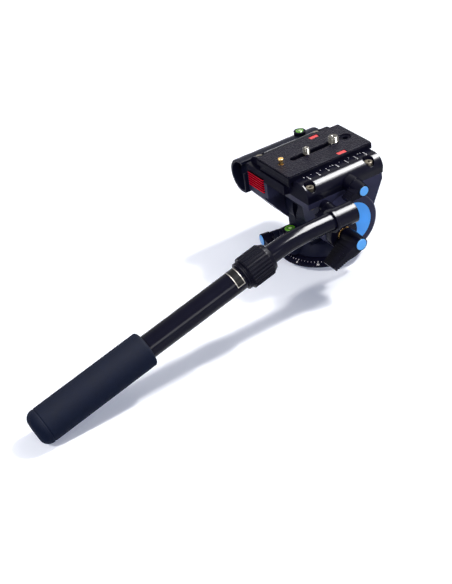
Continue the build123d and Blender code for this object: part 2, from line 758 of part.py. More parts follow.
# Cradle: slab under the platform, two cheeks and the wall behind the button
with BuildPart() as tilt_cradle:
    with BuildSketch(yz_at(CHEEK_IN)):
        add(cheek_profile(RIGHT_REAR_CORNER_Y, RIGHT_REAR_CORNER_Z))
    extrude(amount=CHEEK_OUT - CHEEK_IN)
    with BuildSketch(yz_at(-CHEEK_OUT)):
        add(cheek_profile(LEFT_REAR_CORNER_Y, LEFT_REAR_CORNER_Z))
    extrude(amount=CHEEK_OUT - CHEEK_IN)
    with BuildSketch(Plane.XY.offset(CRADLE_SLAB_Z)):
        with Locations((0, (CRADLE_BACK_Y + CRADLE_FRONT_Y) / 2)):
            Rectangle(2 * CHEEK_OUT, CRADLE_FRONT_Y - CRADLE_BACK_Y)
    extrude(amount=CRADLE_TOP_Z - CRADLE_SLAB_Z)
    with BuildSketch(Plane.XY.offset(BUTTON_WALL_Z)):
        wall_center_x = (BUTTON_WALL_RIGHT_X - CHEEK_OUT) / 2
        with Locations((wall_center_x, LEFT_REAR_CORNER_Y + BUTTON_WALL_DEPTH / 2)):
            Rectangle(BUTTON_WALL_RIGHT_X + CHEEK_OUT, BUTTON_WALL_DEPTH)
    extrude(amount=CRADLE_TOP_Z - BUTTON_WALL_Z)
    with BuildSketch(yz_at(CHEEK_IN), yz_at(-CHEEK_IN - CHEEK_WALL)):
        with Locations((0, TILT_Z)):
            Circle(TILT_BUSH_R)
    extrude(amount=CHEEK_WALL, mode=Mode.SUBTRACT)
    with BuildSketch(yz_at(CHEEK_IN + CHEEK_WALL), yz_at(-CHEEK_OUT)):
        with Locations((0, TILT_Z)):
            Circle(CHEEK_BORE_R)
    extrude(amount=CHEEK_OUT - CHEEK_IN - CHEEK_WALL, mode=Mode.SUBTRACT)
    with BuildSketch(Plane.XZ.offset(-REAR_WALL_Y + OVERRUN)):
        with Locations((button_x, button_z)):
            Rectangle(button_w + 2 * GAP, button_h + 2 * GAP)
    extrude(amount=-pocket_depth, mode=Mode.SUBTRACT)
    with BuildSketch(Plane.XY.offset(CRADLE_TOP_Z)):
        with Locations(*rail_screw_spots):
            Circle(RAIL_SCREW_R + SEAT)
    extrude(amount=-RAIL_SCREW_LENGTH, mode=Mode.SUBTRACT)
    with BuildSketch(yz_at(CHEEK_OUT)):
        with Locations((TILT_LEVER_Y, TILT_LEVER_Z)):
            Circle(LEVER_STUD_R + RUN)
    extrude(amount=-STUD_LENGTH, mode=Mode.SUBTRACT)
    with BuildSketch(yz_at(CHEEK_OUT), yz_at(-CHEEK_OUT + COVER_SCREW_LENGTH)):
        with Locations(*cover_screw_points()):
            Circle(COVER_SCREW_R + SEAT)
    extrude(amount=-COVER_SCREW_LENGTH, mode=Mode.SUBTRACT)
tilt_cradle.part.label = "tilt_cradle"
export_step(tilt_cradle.part, "parts/tilt_cradle.step")

# Right cover: ring with a recess for the coloured disc and a boss for the bar rosette
badge_floor_x = CHEEK_OUT + COVER_RIGHT_T - BADGE_RECESS

with BuildPart() as tilt_cover_right:
    with BuildSketch(yz_at(CHEEK_OUT)):
        with Locations((0, TILT_Z)):
            Circle(CHEEK_R)
    extrude(amount=COVER_RIGHT_T)
    fillet(tilt_cover_right.edges().sort_by(Axis.X)[-1], COVER_EDGE)
    with BuildSketch(yz_at(badge_floor_x)):
        with Locations((0, TILT_Z)):
            Circle(BADGE_R + SEAT)
    extrude(amount=BADGE_RECESS, mode=Mode.SUBTRACT)
    with BuildSketch(yz_at(CHEEK_OUT)):
        with Locations((ROSETTE_Y, TILT_Z)):
            Circle(ROSETTE_BOSS_R)
    extrude(amount=COVER_RIGHT_T)
    with BuildSketch(yz_at(CHEEK_OUT)):
        with Locations((ROSETTE_Y, TILT_Z)):
            Circle(LEVER_STUD_R + RUN)
        with Locations(*cover_screw_points()):
            Circle(COVER_SCREW_R + SEAT)
    extrude(amount=COVER_RIGHT_T, mode=Mode.SUBTRACT)
    with BuildSketch(yz_at(badge_floor_x)):
        with Locations(*cover_screw_points()):
            Circle(COVER_SCREW_HEAD_R + SEAT)
    extrude(amount=-COVER_SCREW_HEAD_H, mode=Mode.SUBTRACT)
tilt_cover_right.part.label = "tilt_cover_right"
export_step(tilt_cover_right.part, "parts/tilt_cover_right.step")

# Coloured disc in the ring, cut away round the rosette boss
with BuildPart() as badge_disc:
    with BuildSketch(yz_at(badge_floor_x)):
        with Locations((0, TILT_Z)):
            Circle(BADGE_R)
        with Locations((ROSETTE_Y, TILT_Z)):
            Circle(ROSETTE_BOSS_R + SEAT, mode=Mode.SUBTRACT)
    extrude(amount=BADGE_T)
badge_disc.part.label = "badge_disc"
export_step(badge_disc.part, "parts/badge_disc.step")

# Left cover
with BuildPart() as tilt_cover_left:
    with BuildSketch(yz_at(-CHEEK_OUT)):
        with Locations((0, TILT_Z)):
            Circle(CHEEK_R - COVER_EDGE)
    extrude(amount=-COVER_LEFT_T)
    fillet(tilt_cover_left.edges().sort_by(Axis.X)[0], COVER_EDGE)
    with BuildSketch(yz_at(-CHEEK_OUT - COVER_LEFT_T)):
        with Locations(*cover_screw_points()):
            Circle(COVER_SCREW_R + SEAT)
    extrude(amount=COVER_LEFT_T, mode=Mode.SUBTRACT)
    with BuildSketch(yz_at(-CHEEK_OUT - COVER_LEFT_T)):
        with Locations(*cover_screw_points()):
            Circle(COVER_SCREW_HEAD_R + SEAT)
    extrude(amount=COVER_SCREW_HEAD_H, mode=Mode.SUBTRACT)
tilt_cover_left.part.label = "tilt_cover_left"
export_step(tilt_cover_left.part, "parts/tilt_cover_left.step")

with BuildPart() as cover_screws:
    with BuildSketch(yz_at(badge_floor_x - COVER_SCREW_HEAD_H)):
        with Locations(*cover_screw_points()):
            Circle(COVER_SCREW_HEAD_R)
    extrude(amount=COVER_SCREW_HEAD_H)
    with BuildSketch(yz_at(badge_floor_x - COVER_SCREW_HEAD_H)):
        with Locations(*cover_screw_points()):
            Circle(COVER_SCREW_R)
    extrude(amount=-COVER_SCREW_LENGTH)
    with BuildSketch(yz_at(COVER_SCREW_HEAD_H - CHEEK_OUT - COVER_LEFT_T)):
        with Locations(*cover_screw_points()):
            Circle(COVER_SCREW_HEAD_R)
    extrude(amount=-COVER_SCREW_HEAD_H)
    with BuildSketch(yz_at(COVER_SCREW_HEAD_H - CHEEK_OUT - COVER_LEFT_T)):
        with Locations(*cover_screw_points()):
            Circle(COVER_SCREW_R)
    extrude(amount=COVER_SCREW_LENGTH)
cover_screws.part.label = "cover_screws"
export_step(cover_screws.part, "parts/cover_screws.step")

# Toothed rosette that the bar bracket is clamped against
with BuildPart() as bar_rosette:
    with BuildSketch(yz_at(CHEEK_OUT + COVER_RIGHT_T)):
        with Locations((ROSETTE_Y, TILT_Z)):
            Circle(ROSETTE_R)
            Circle(LEVER_STUD_R + RUN, mode=Mode.SUBTRACT)
    extrude(amount=ROSETTE_T)
    with BuildSketch(yz_at(CHEEK_OUT + COVER_RIGHT_T + ROSETTE_T)):
        with Locations((ROSETTE_Y, TILT_Z)):
            with PolarLocations(ROSETTE_R * 3 / 4, ROSETTE_TEETH):
                Rectangle(ROSETTE_R / 2 + OVERRUN, ROSETTE_TOOTH_DEPTH)
    extrude(amount=-ROSETTE_TOOTH_DEPTH, mode=Mode.SUBTRACT)
bar_rosette.part.label = "bar_rosette"
export_step(bar_rosette.part, "parts/bar_rosette.step")

# Platform: two rounded rails and the dovetail channel between them
rail_round_z = RAIL_TOP_Z - RAIL_ROUND_R


def rail_side(side):
    """Half of the platform's section, from the channel over the rail to the cradle."""
    with BuildLine() as half:
        Polyline(
            (0, PLATFORM_FLOOR_Z),
            (side * (DOVETAIL_TOP_HALF + DOVETAIL_FLARE), PLATFORM_FLOOR_Z),
            (side * DOVETAIL_TOP_HALF, LIP_TOP_Z),
            (side * RAIL_INNER_X, LIP_TOP_Z),
            (side * RAIL_INNER_X, RAIL_TOP_Z),
            (side * (RAIL_OUTER_X - RAIL_ROUND_R), RAIL_TOP_Z),
        )
        ThreePointArc(
            (side * (RAIL_OUTER_X - RAIL_ROUND_R), RAIL_TOP_Z),
            (
                side * (RAIL_OUTER_X - RAIL_ROUND_R * (1 - math.sqrt(2) / 2)),
                rail_round_z + RAIL_ROUND_R * math.sqrt(2) / 2,
            ),
            (side * RAIL_OUTER_X, rail_round_z),
        )
        Polyline(
            (side * RAIL_OUTER_X, rail_round_z),
            (side * CHEEK_OUT, CRADLE_TOP_Z),
            (0, CRADLE_TOP_Z),
        )
    return half.line


with BuildPart() as platform:
    with BuildSketch(Plane.XZ.offset(-PLATFORM_FRONT_Y)):
        with BuildLine():
            add(rail_side(1))
            add(rail_side(-1))
        make_face()
    extrude(amount=PLATFORM_FRONT_Y - PLATFORM_BACK_Y)
    with BuildSketch(Plane.XY.offset(CRADLE_TOP_Z)):
        with Locations(((REAR_WALL_LEFT_X + REAR_WALL_RIGHT_X) / 2, (REAR_WALL_Y + PLATFORM_BACK_Y) / 2)):
            Rectangle(REAR_WALL_RIGHT_X - REAR_WALL_LEFT_X, PLATFORM_BACK_Y - REAR_WALL_Y)
    extrude(amount=REAR_WALL_TOP_Z - CRADLE_TOP_Z)
    with BuildSketch(Plane.XZ.offset(-REAR_WALL_Y + OVERRUN)):
        with Locations((button_x, button_z)):
            Rectangle(button_w + 2 * GAP, button_h + 2 * GAP)
    extrude(amount=-pocket_depth, mode=Mode.SUBTRACT)
    with BuildSketch(Plane.XY.offset(CRADLE_TOP_Z)):
        with Locations(*rail_screw_spots):
            Circle(RAIL_SCREW_R + SEAT)
    extrude(amount=RAIL_TOP_Z - CRADLE_TOP_Z, mode=Mode.SUBTRACT)
    with BuildSketch(Plane.XY.offset(RAIL_POCKET_Z)):
        with Locations(*rail_screw_spots):
            Circle(RAIL_POCKET_R)
    extrude(amount=RAIL_TOP_Z - RAIL_POCKET_Z, mode=Mode.SUBTRACT)
    with BuildSketch(Plane.XY.offset(PLATFORM_FLOOR_Z)):
        with Locations((CATCH_X, 0)):
            Circle(CATCH_R + RUN)
    extrude(amount=-(PLATFORM_FLOOR_Z - CATCH_BOTTOM_Z + CATCH_TRAVEL + GAP), mode=Mode.SUBTRACT)
    jaw_pocket_in_x = DOVETAIL_TOP_HALF - GAP
    jaw_pocket_out_x = JAW_OUTER_X + JAW_TRAVEL + GAP
    with BuildSketch(Plane.XY.offset(PLATFORM_FLOOR_Z)):
        with Locations(((jaw_pocket_in_x + jaw_pocket_out_x) / 2, 0)):
            Rectangle(jaw_pocket_out_x - jaw_pocket_in_x, 2 * (JAW_HALF_Y + GAP))
    extrude(amount=LIP_TOP_Z - PLATFORM_FLOOR_Z, mode=Mode.SUBTRACT)
    with BuildSketch(Plane.XY.offset(PLATFORM_FLOOR_Z)):
        with Locations(((JAW_LUG_X - GAP + jaw_pocket_out_x) / 2, PLATE_LEVER_Y)):
            Rectangle(jaw_pocket_out_x - JAW_LUG_X + GAP, JAW_LUG_W + 2 * GAP)
    extrude(amount=JAW_LUG_BOTTOM_Z - GAP - PLATFORM_FLOOR_Z, mode=Mode.SUBTRACT)
    with BuildSketch(yz_at(RAIL_OUTER_X)):
        with Locations((PLATE_LEVER_Y, PLATE_LEVER_Z)):
            Circle(LEVER_STUD_R + RUN)
    extrude(amount=jaw_pocket_out_x - RAIL_OUTER_X, mode=Mode.SUBTRACT)
platform.part.label = "platform"
export_step(platform.part, "parts/platform.step")

with BuildPart() as platform_screws:
    with BuildSketch(Plane.XY.offset(RAIL_POCKET_Z)):
        with Locations(*rail_screw_spots):
            Circle(RAIL_SCREW_HEAD_R)
    extrude(amount=RAIL_SCREW_HEAD_H)
    with BuildSketch(Plane.XY.offset(RAIL_POCKET_Z + RAIL_SCREW_HEAD_H)):
        with Locations(*rail_screw_spots):
            RegularPolygon(HEX_SOCKET_R, 6)
    extrude(amount=-RAIL_SCREW_HEAD_H / 2, mode=Mode.SUBTRACT)
    with BuildSketch(Plane.XY.offset(RAIL_POCKET_Z)):
        with Locations(*rail_screw_spots):
            Circle(RAIL_SCREW_R)
    extrude(amount=-RAIL_SCREW_LENGTH)
platform_screws.part.label = "platform_screws"
export_step(platform_screws.part, "parts/platform_screws.step")

# Side housing: D-shaped shell on the left flank, open at the rear end
side_right_x = -CHEEK_OUT

with BuildPart() as side_housing:
    with BuildSketch(Plane.XZ.offset(-SIDE_FRONT_Y)):
        with Locations((SIDE_X, SIDE_Z)):
            Circle(SIDE_R)
        with Locations((side_right_x + SIDE_R, SIDE_Z)):
            Rectangle(2 * SIDE_R, 2 * SIDE_R, mode=Mode.SUBTRACT)
        with Locations((SEAT - RAIL_OUTER_X, CRADLE_TOP_Z - SEAT + SIDE_R / 2)):
            Rectangle(2 * (RAIL_OUTER_X - CHEEK_OUT), SIDE_R, mode=Mode.SUBTRACT)
    extrude(amount=SIDE_FRONT_Y - SIDE_BACK_Y)
    fillet(side_housing.edges().group_by(Axis.Y)[-1].sort_by(Axis.X)[0], SIDE_WALL)
    with BuildSketch(Plane.XZ.offset(-SIDE_BACK_Y)):
        with Locations((SIDE_X, SIDE_Z)):
            Circle(SIDE_R - SIDE_WALL)
        with Locations((side_right_x - SIDE_WALL / 2 + SIDE_R, SIDE_Z)):
            Rectangle(2 * SIDE_R, 2 * SIDE_R, mode=Mode.SUBTRACT)
    extrude(amount=-SIDE_RECESS, mode=Mode.SUBTRACT)
    with BuildSketch(yz_at(side_right_x)):
        with Locations((0, TILT_Z)):
            Circle(CHEEK_R - COVER_EDGE + GAP)
    extrude(amount=-(COVER_LEFT_T + GAP), mode=Mode.SUBTRACT)
side_housing.part.label = "side_housing"
export_step(side_housing.part, "parts/side_housing.step")

with BuildPart() as side_housing_pin:
    with BuildSketch(Plane.XZ.offset(-SIDE_BACK_Y - SIDE_RECESS)):
        with Locations((side_right_x - SIDE_PIN_R - SIDE_PIN_INSET, SIDE_Z + SIDE_PIN_RISE)):
            Circle(SIDE_PIN_R)
    extrude(amount=SIDE_RECESS - SIDE_PIN_INSET)
    fillet(side_housing_pin.edges().sort_by(Axis.Y)[0], SOFT_EDGE)
side_housing_pin.part.label = "side_housing_pin"
export_step(side_housing_pin.part, "parts/side_housing_pin.step")

# Level on the crest of the side housing
top_level_z = SIDE_Z + SIDE_R + TOP_LEVEL_RISE
top_level_cup, top_level_vial = bubble_level(TOP_LEVEL_X, TOP_LEVEL_Y, top_level_z, TOP_LEVEL_POD_R)
with BuildPart() as top_level_pod:
    add(top_level_cup.part)
    with BuildSketch(Plane.XY.offset(top_level_z - LEVEL_POD_H)):
        with Locations((TOP_LEVEL_X, TOP_LEVEL_Y)):
            Circle(TOP_LEVEL_POD_R)
    extrude(amount=-SIDE_R / 2)
    with BuildSketch(Plane.XZ.offset(-TOP_LEVEL_Y - TOP_LEVEL_POD_R - OVERRUN)):
        with Locations((SIDE_X, SIDE_Z)):
            Circle(SIDE_R)
    extrude(amount=2 * (TOP_LEVEL_POD_R + OVERRUN), mode=Mode.SUBTRACT)
top_level_pod.part.label = "top_level_pod"
export_step(top_level_pod.part, "parts/top_level_pod.step")
top_level_vial.part.label = "top_level_vial"
export_step(top_level_vial.part, "parts/top_level_vial.step")

# Release button with its finger grooves, and the spring behind it
button_back_y = REAR_WALL_Y - BUTTON_PROUD + BUTTON_T

with BuildPart() as release_button:
    with BuildSketch(Plane.XZ.offset(-REAR_WALL_Y + BUTTON_PROUD)):
        with Locations((button_x, button_z)):
            Rectangle(button_w, button_h)
    extrude(amount=-BUTTON_T)
    groove_pitch = button_h / (BUTTON_GROOVES + 1)
    for number in range(BUTTON_GROOVES):
        with BuildSketch(Plane.XZ.offset(-REAR_WALL_Y + BUTTON_PROUD)):
            with Locations((button_x, BUTTON_BOTTOM_Z + groove_pitch * (number + 1))):
                Rectangle(button_w, BUTTON_GROOVE_W)
        extrude(amount=-BUTTON_GROOVE_W, mode=Mode.SUBTRACT)
release_button.part.label = "release_button"
export_step(release_button.part, "parts/release_button.step")

spring_back_y = REAR_WALL_Y - OVERRUN + pocket_depth
spring_room = spring_back_y - button_back_y - 2 * (RELEASE_WIRE_R + GAP)
spring_start_y = button_back_y + RELEASE_WIRE_R + GAP
release_spring = coil_spring(
    Plane(origin=(button_x, spring_start_y, button_z), x_dir=(1, 0, 0), z_dir=(0, 1, 0)),
    RELEASE_SPRING_R,
    RELEASE_WIRE_R,
    spring_room / 2,
    spring_room,
)
release_spring.part.label = "release_spring"
export_step(release_spring.part, "parts/release_spring.step")

# Catch that stands in the groove under the plate
with BuildPart() as safety_catch:
    with BuildSketch(Plane.XY.offset(CATCH_BOTTOM_Z)):
        with Locations((CATCH_X, 0)):
            Circle(CATCH_R)
    extrude(amount=PLATFORM_FLOOR_Z + CATCH_RISE - CATCH_BOTTOM_Z)
    chamfer(safety_catch.edges().sort_by(Axis.Z)[-1], SOFT_EDGE)
safety_catch.part.label = "safety_catch"
export_step(safety_catch.part, "parts/safety_catch.step")

# Jaw that presses the plate's dovetail, with a lug in front of the lever's stud
with BuildPart() as clamp_jaw:
    with BuildSketch(Plane.XZ.offset(JAW_HALF_Y)):
        with BuildLine():
            Polyline(
                (DOVETAIL_TOP_HALF + DOVETAIL_FLARE, PLATFORM_FLOOR_Z + RUN),
                (DOVETAIL_TOP_HALF, LIP_TOP_Z - RUN),
                (JAW_OUTER_X, LIP_TOP_Z - RUN),
                (JAW_OUTER_X, PLATFORM_FLOOR_Z + RUN),
                close=True,
            )
        make_face()
    extrude(amount=-2 * JAW_HALF_Y)
    with BuildSketch(Plane.XY.offset(PLATFORM_FLOOR_Z + RUN)):
        with Locations(((JAW_LUG_X + JAW_OUTER_X) / 2, PLATE_LEVER_Y)):
            Rectangle(JAW_OUTER_X - JAW_LUG_X, JAW_LUG_W)
    extrude(amount=JAW_LUG_BOTTOM_Z - PLATFORM_FLOOR_Z - RUN)
clamp_jaw.part.label = "clamp_jaw"
export_step(clamp_jaw.part, "parts/clamp_jaw.step")

# Quick release plate: slab over a dovetail, with screw slot and catch groove
plate_length = PLATE_FRONT_Y - PLATE_BACK_Y
plate_mid_y = (PLATE_FRONT_Y + PLATE_BACK_Y) / 2
slot_mid_y = (SLOT_FRONT_Y + SLOT_BACK_Y) / 2
plate_bottom_z = PLATFORM_FLOOR_Z + GAP
dovetail_top_half = DOVETAIL_TOP_HALF - GAP
dovetail_bottom_half = dovetail_top_half + DOVETAIL_FLARE * (PLATE_SLAB_Z - plate_bottom_z) / (
    LIP_TOP_Z - PLATFORM_FLOOR_Z
)


def slot_outline(half_width, extra):
    """Rounded slot along the plate, centred on the camera screws' line."""
    with BuildSketch() as outline:
        with Locations((0, slot_mid_y)):
            SlotOverall(SLOT_FRONT_Y - SLOT_BACK_Y + 2 * extra, 2 * half_width, rotation=90)
        with Locations((0, THREE_EIGHTHS_Y)):
            Circle(max(half_width, THREE_EIGHTHS_R + GAP))
    return outline.sketch


with BuildPart() as quick_release_plate:
    with BuildSketch(Plane.XY.offset(PLATE_SLAB_Z)):
        with Locations((0, plate_mid_y)):
            RectangleRounded(2 * PLATE_HALF_X, plate_length, PLATE_CORNER_R)
    extrude(amount=PLATE_SLAB_TOP_Z - PLATE_SLAB_Z)
    with BuildSketch(Plane.XZ.offset(-PLATE_FRONT_Y + PLATE_CORNER_R)):
        with BuildLine():
            Polyline(
                (-dovetail_bottom_half, plate_bottom_z),
                (dovetail_bottom_half, plate_bottom_z),
                (dovetail_top_half, PLATE_SLAB_Z),
                (-dovetail_top_half, PLATE_SLAB_Z),
                close=True,
            )
        make_face()
    extrude(amount=plate_length - 2 * PLATE_CORNER_R)
    with BuildSketch(Plane.XY.offset(plate_bottom_z)):
        add(slot_outline(SLOT_HALF_W, 0))
    extrude(amount=PLATE_SLAB_TOP_Z - plate_bottom_z, mode=Mode.SUBTRACT)
    with BuildSketch(Plane.XY.offset(plate_bottom_z)):
        add(slot_outline(SLOT_POCKET_HALF_W, SLOT_POCKET_EXTRA))
    extrude(amount=SLOT_POCKET_TOP_Z - plate_bottom_z, mode=Mode.SUBTRACT)
    with BuildSketch(Plane.XY.offset(plate_bottom_z)):
        with Locations((CATCH_X, plate_mid_y)):
            Rectangle(2 * (CATCH_R + GAP), 2 * CATCH_GROOVE_HALF_Y)
    extrude(amount=CATCH_GROOVE_DEPTH, mode=Mode.SUBTRACT)
    with BuildSketch(Plane.XY.offset(plate_bottom_z)):
        with Locations((0, VIDEO_PIN_Y), (0, FRONT_PIN_HOLE_Y)):
            Circle(PIN_HOLE_R)
    extrude(amount=PLATE_SLAB_TOP_Z - plate_bottom_z, mode=Mode.SUBTRACT)
    with BuildSketch(Plane.XY.offset(plate_bottom_z)):
        with Locations((0, VIDEO_PIN_Y)):
            Circle(VIDEO_PIN_POCKET_R)
    extrude(amount=VIDEO_PIN_FLANGE_T + VIDEO_PIN_TRAVEL + 2 * GAP, mode=Mode.SUBTRACT)
quick_release_plate.part.label = "quick_release_plate"
export_step(quick_release_plate.part, "parts/quick_release_plate.step")

# Rubber top pad with windows over the two coloured markers
marker_spots = [(-MARKER_X, MARKER_Y), (MARKER_X, MARKER_Y)]

with BuildPart() as plate_pad:
    with BuildSketch(Plane.XY.offset(PLATE_SLAB_TOP_Z)):
        with Locations((0, plate_mid_y)):
            RectangleRounded(2 * (PLATE_HALF_X - PAD_MARGIN), plate_length - 2 * PAD_MARGIN, PLATE_CORNER_R)
        add(slot_outline(SLOT_HALF_W, 0), mode=Mode.SUBTRACT)
        with Locations(*marker_spots):
            Rectangle(MARKER_W, MARKER_L, mode=Mode.SUBTRACT)
        with Locations((0, VIDEO_PIN_Y)):
            Circle(PIN_HOLE_R, mode=Mode.SUBTRACT)
        with Locations((0, FRONT_PIN_HOLE_Y)):
            Circle(PIN_HOLE_COUNTERBORE_R, mode=Mode.SUBTRACT)
    extrude(amount=PAD_TOP_Z - PLATE_SLAB_TOP_Z)
plate_pad.part.label = "plate_pad"
export_step(plate_pad.part, "parts/plate_pad.step")

with BuildPart() as plate_markers:
    with BuildSketch(Plane.XY.offset(PLATE_SLAB_TOP_Z)):
        with Locations(*marker_spots):
            Rectangle(MARKER_W - 2 * SEAT, MARKER_L - 2 * SEAT)
    extrude(amount=PAD_TOP_Z - PLATE_SLAB_TOP_Z - MARKER_DROP)
plate_markers.part.label = "plate_markers"
export_step(plate_markers.part, "parts/plate_markers.step")


def camera_screw(y, thread_r, head_r):
    """Camera screw with a coin slot in its head, pointing up through the plate."""
    with BuildPart() as screw:
        with BuildSketch(Plane.XY.offset(CAMERA_HEAD_Z)):
            with Locations((0, y)):
                Circle(head_r)
        extrude(amount=CAMERA_HEAD_TOP_Z - CAMERA_HEAD_Z)
        with BuildSketch(Plane.XY.offset(CAMERA_HEAD_Z)):
            with Locations((0, y)):
                Rectangle(2 * head_r, COIN_SLOT_W)
        extrude(amount=COIN_SLOT_DEPTH, mode=Mode.SUBTRACT)
        with BuildSketch(Plane.XY.offset(CAMERA_HEAD_TOP_Z)):
            with Locations((0, y)):
                Circle(CAMERA_NECK_R)
        extrude(amount=PAD_TOP_Z - CAMERA_HEAD_TOP_Z)
        with BuildSketch(Plane.XY.offset(PAD_TOP_Z)):
            with Locations((0, y)):
                Circle(thread_r)
        extrude(amount=CAMERA_SCREW_TOP_Z - PAD_TOP_Z)
        chamfer(screw.edges().sort_by(Axis.Z)[-1], SOFT_EDGE)
    return screw


def camera_washer(y):
    """Washer between a camera screw's head and the roof of the slot's pocket."""
    with BuildPart() as washer:
        with BuildSketch(Plane.XY.offset(CAMERA_HEAD_TOP_Z + RUN)):
            with Locations((0, y)):
                Circle(CAMERA_WASHER_R)
                Circle(CAMERA_NECK_R + RUN, mode=Mode.SUBTRACT)
        extrude(amount=CAMERA_WASHER_T)
    return washer


quarter_screw = camera_screw(QUARTER_Y, QUARTER_R, QUARTER_HEAD_R)
quarter_screw.part.label = "quarter_screw"
export_step(quarter_screw.part, "parts/quarter_screw.step")
quarter_washer = camera_washer(QUARTER_Y)
quarter_washer.part.label = "quarter_washer"
export_step(quarter_washer.part, "parts/quarter_washer.step")
three_eighths_screw = camera_screw(THREE_EIGHTHS_Y, THREE_EIGHTHS_R, THREE_EIGHTHS_HEAD_R)
three_eighths_screw.part.label = "three_eighths_screw"
export_step(three_eighths_screw.part, "parts/three_eighths_screw.step")
three_eighths_washer = camera_washer(THREE_EIGHTHS_Y)
three_eighths_washer.part.label = "three_eighths_washer"
export_step(three_eighths_washer.part, "parts/three_eighths_washer.step")

# Spring-loaded video pin with a flange under the plate
with BuildPart() as video_pin:
    with BuildSketch(Plane.XY.offset(plate_bottom_z + VIDEO_PIN_TRAVEL + GAP)):
        with Locations((0, VIDEO_PIN_Y)):
            Circle(VIDEO_PIN_FLANGE_R)
    extrude(amount=VIDEO_PIN_FLANGE_T)
    with BuildSketch(Plane.XY.offset(plate_bottom_z + VIDEO_PIN_TRAVEL + GAP)):
        with Locations((0, VIDEO_PIN_Y)):
            Circle(PIN_HOLE_R - RUN)
    extrude(amount=PLATE_SLAB_TOP_Z - plate_bottom_z - VIDEO_PIN_TRAVEL)
    with BuildSketch(Plane.XY.offset(PLATE_SLAB_TOP_Z)):
        with Locations((0, VIDEO_PIN_Y)):
            Circle(VIDEO_PIN_R)
    extrude(amount=VIDEO_PIN_TOP_Z - PLATE_SLAB_TOP_Z)
    with BuildSketch(Plane.XY.offset(VIDEO_PIN_TOP_Z)):
        with Locations((0, VIDEO_PIN_Y)):
            Circle(VIDEO_PIN_HEAD_R)
    extrude(amount=-VIDEO_PIN_HEAD_T)
video_pin.part.label = "video_pin"
export_step(video_pin.part, "parts/video_pin.step")

# Tilt lock lever on the right cheek
tilt_lever_plane = lever_plane(CHEEK_OUT + GAP, TILT_LEVER_Y, TILT_LEVER_Z, TILT_LEVER_ANGLE)
tilt_lock_lever = lever_handle(
    tilt_lever_plane,
    TILT_NECK_R,
    TILT_HUB_R,
    TILT_CAP_R,
    TILT_HUB_RING,
    TILT_HUB_H,
    TILT_REACH,
    TILT_TIP_LOW,
    TILT_TIP_HIGH,
    SHORT_LEVER_RIBS,
)
tilt_lock_lever.part.label = "tilt_lock_lever"
export_step(tilt_lock_lever.part, "parts/tilt_lock_lever.step")
tilt_lock_cap = lever_cap(tilt_lever_plane, TILT_CAP_R, TILT_HUB_H)
tilt_lock_cap.part.label = "tilt_lock_cap"
export_step(tilt_lock_cap.part, "parts/tilt_lock_cap.step")
tilt_lock_stud = lever_stud(tilt_lever_plane, TILT_HUB_H, STUD_LENGTH)
tilt_lock_stud.part.label = "tilt_lock_stud"
export_step(tilt_lock_stud.part, "parts/tilt_lock_stud.step")

# Plate lock lever on the right rail
plate_lever_plane = lever_plane(RAIL_OUTER_X + GAP, PLATE_LEVER_Y, PLATE_LEVER_Z, PLATE_LEVER_ANGLE)
plate_lock_lever = lever_handle(
    plate_lever_plane,
    PLATE_NECK_R,
    PLATE_HUB_R,
    PLATE_CAP_R,
    PLATE_HUB_RING,
    PLATE_HUB_H,
    PLATE_REACH,
    PLATE_TIP_LOW,
    PLATE_TIP_HIGH,
    SHORT_LEVER_RIBS,
)
plate_lock_lever.part.label = "plate_lock_lever"
export_step(plate_lock_lever.part, "parts/plate_lock_lever.step")
plate_lock_cap = lever_cap(plate_lever_plane, PLATE_CAP_R, PLATE_HUB_H)
plate_lock_cap.part.label = "plate_lock_cap"
export_step(plate_lock_cap.part, "parts/plate_lock_cap.step")
plate_lock_stud = lever_stud(plate_lever_plane, PLATE_HUB_H, SHORT_STUD_LENGTH)
plate_lock_stud.part.label = "plate_lock_stud"
export_step(plate_lock_stud.part, "parts/plate_lock_stud.step")

# Pan lock lever behind the housing's foot
pan_lever_plane = pan_boss_face.offset(GAP)
pan_lock_lever = lever_handle(
    pan_lever_plane,
    PAN_NECK_R,
    PAN_HUB_R,
    PAN_CAP_R,
    PAN_HUB_RING,
    PAN_HUB_H,
    PAN_REACH,
    PAN_TIP_LOW,
    PAN_TIP_HIGH,
    SHORT_LEVER_RIBS,
)
pan_lock_lever.part.label = "pan_lock_lever"
export_step(pan_lock_lever.part, "parts/pan_lock_lever.step")
pan_lock_cap = lever_cap(pan_lever_plane, PAN_CAP_R, PAN_HUB_H)
pan_lock_cap.part.label = "pan_lock_cap"
export_step(pan_lock_cap.part, "parts/pan_lock_cap.step")
pan_lock_stud = lever_stud(pan_lever_plane, PAN_HUB_H, SHORT_STUD_LENGTH)
pan_lock_stud.part.label = "pan_lock_stud"
export_step(pan_lock_stud.part, "parts/pan_lock_stud.step")

# Bar lock lever, which clamps the bracket to the rosette
washer_out_x = BRACKET_FACE_X + BRASS_WASHER_T
bar_lever_plane = lever_plane(washer_out_x + GAP, ROSETTE_Y, TILT_Z, BAR_LEVER_ANGLE)
bar_lock_lever = lever_handle(
    bar_lever_plane,
    BAR_NECK_R,
    BAR_HUB_R,
    BAR_CAP_R,
    BAR_HUB_RING,
    BAR_HUB_H,
    BAR_REACH,
    BAR_TIP_LOW,
    BAR_TIP_HIGH,
    LONG_LEVER_RIBS,
)
bar_lock_lever.part.label = "bar_lock_lever"
export_step(bar_lock_lever.part, "parts/bar_lock_lever.step")
bar_lock_cap = lever_cap(bar_lever_plane, BAR_CAP_R, BAR_HUB_H)
bar_lock_cap.part.label = "bar_lock_cap"
export_step(bar_lock_cap.part, "parts/bar_lock_cap.step")
bar_lock_stud = lever_stud(bar_lever_plane, BAR_HUB_H, SHORT_STUD_LENGTH)
bar_lock_stud.part.label = "bar_lock_stud"
export_step(bar_lock_stud.part, "parts/bar_lock_stud.step")

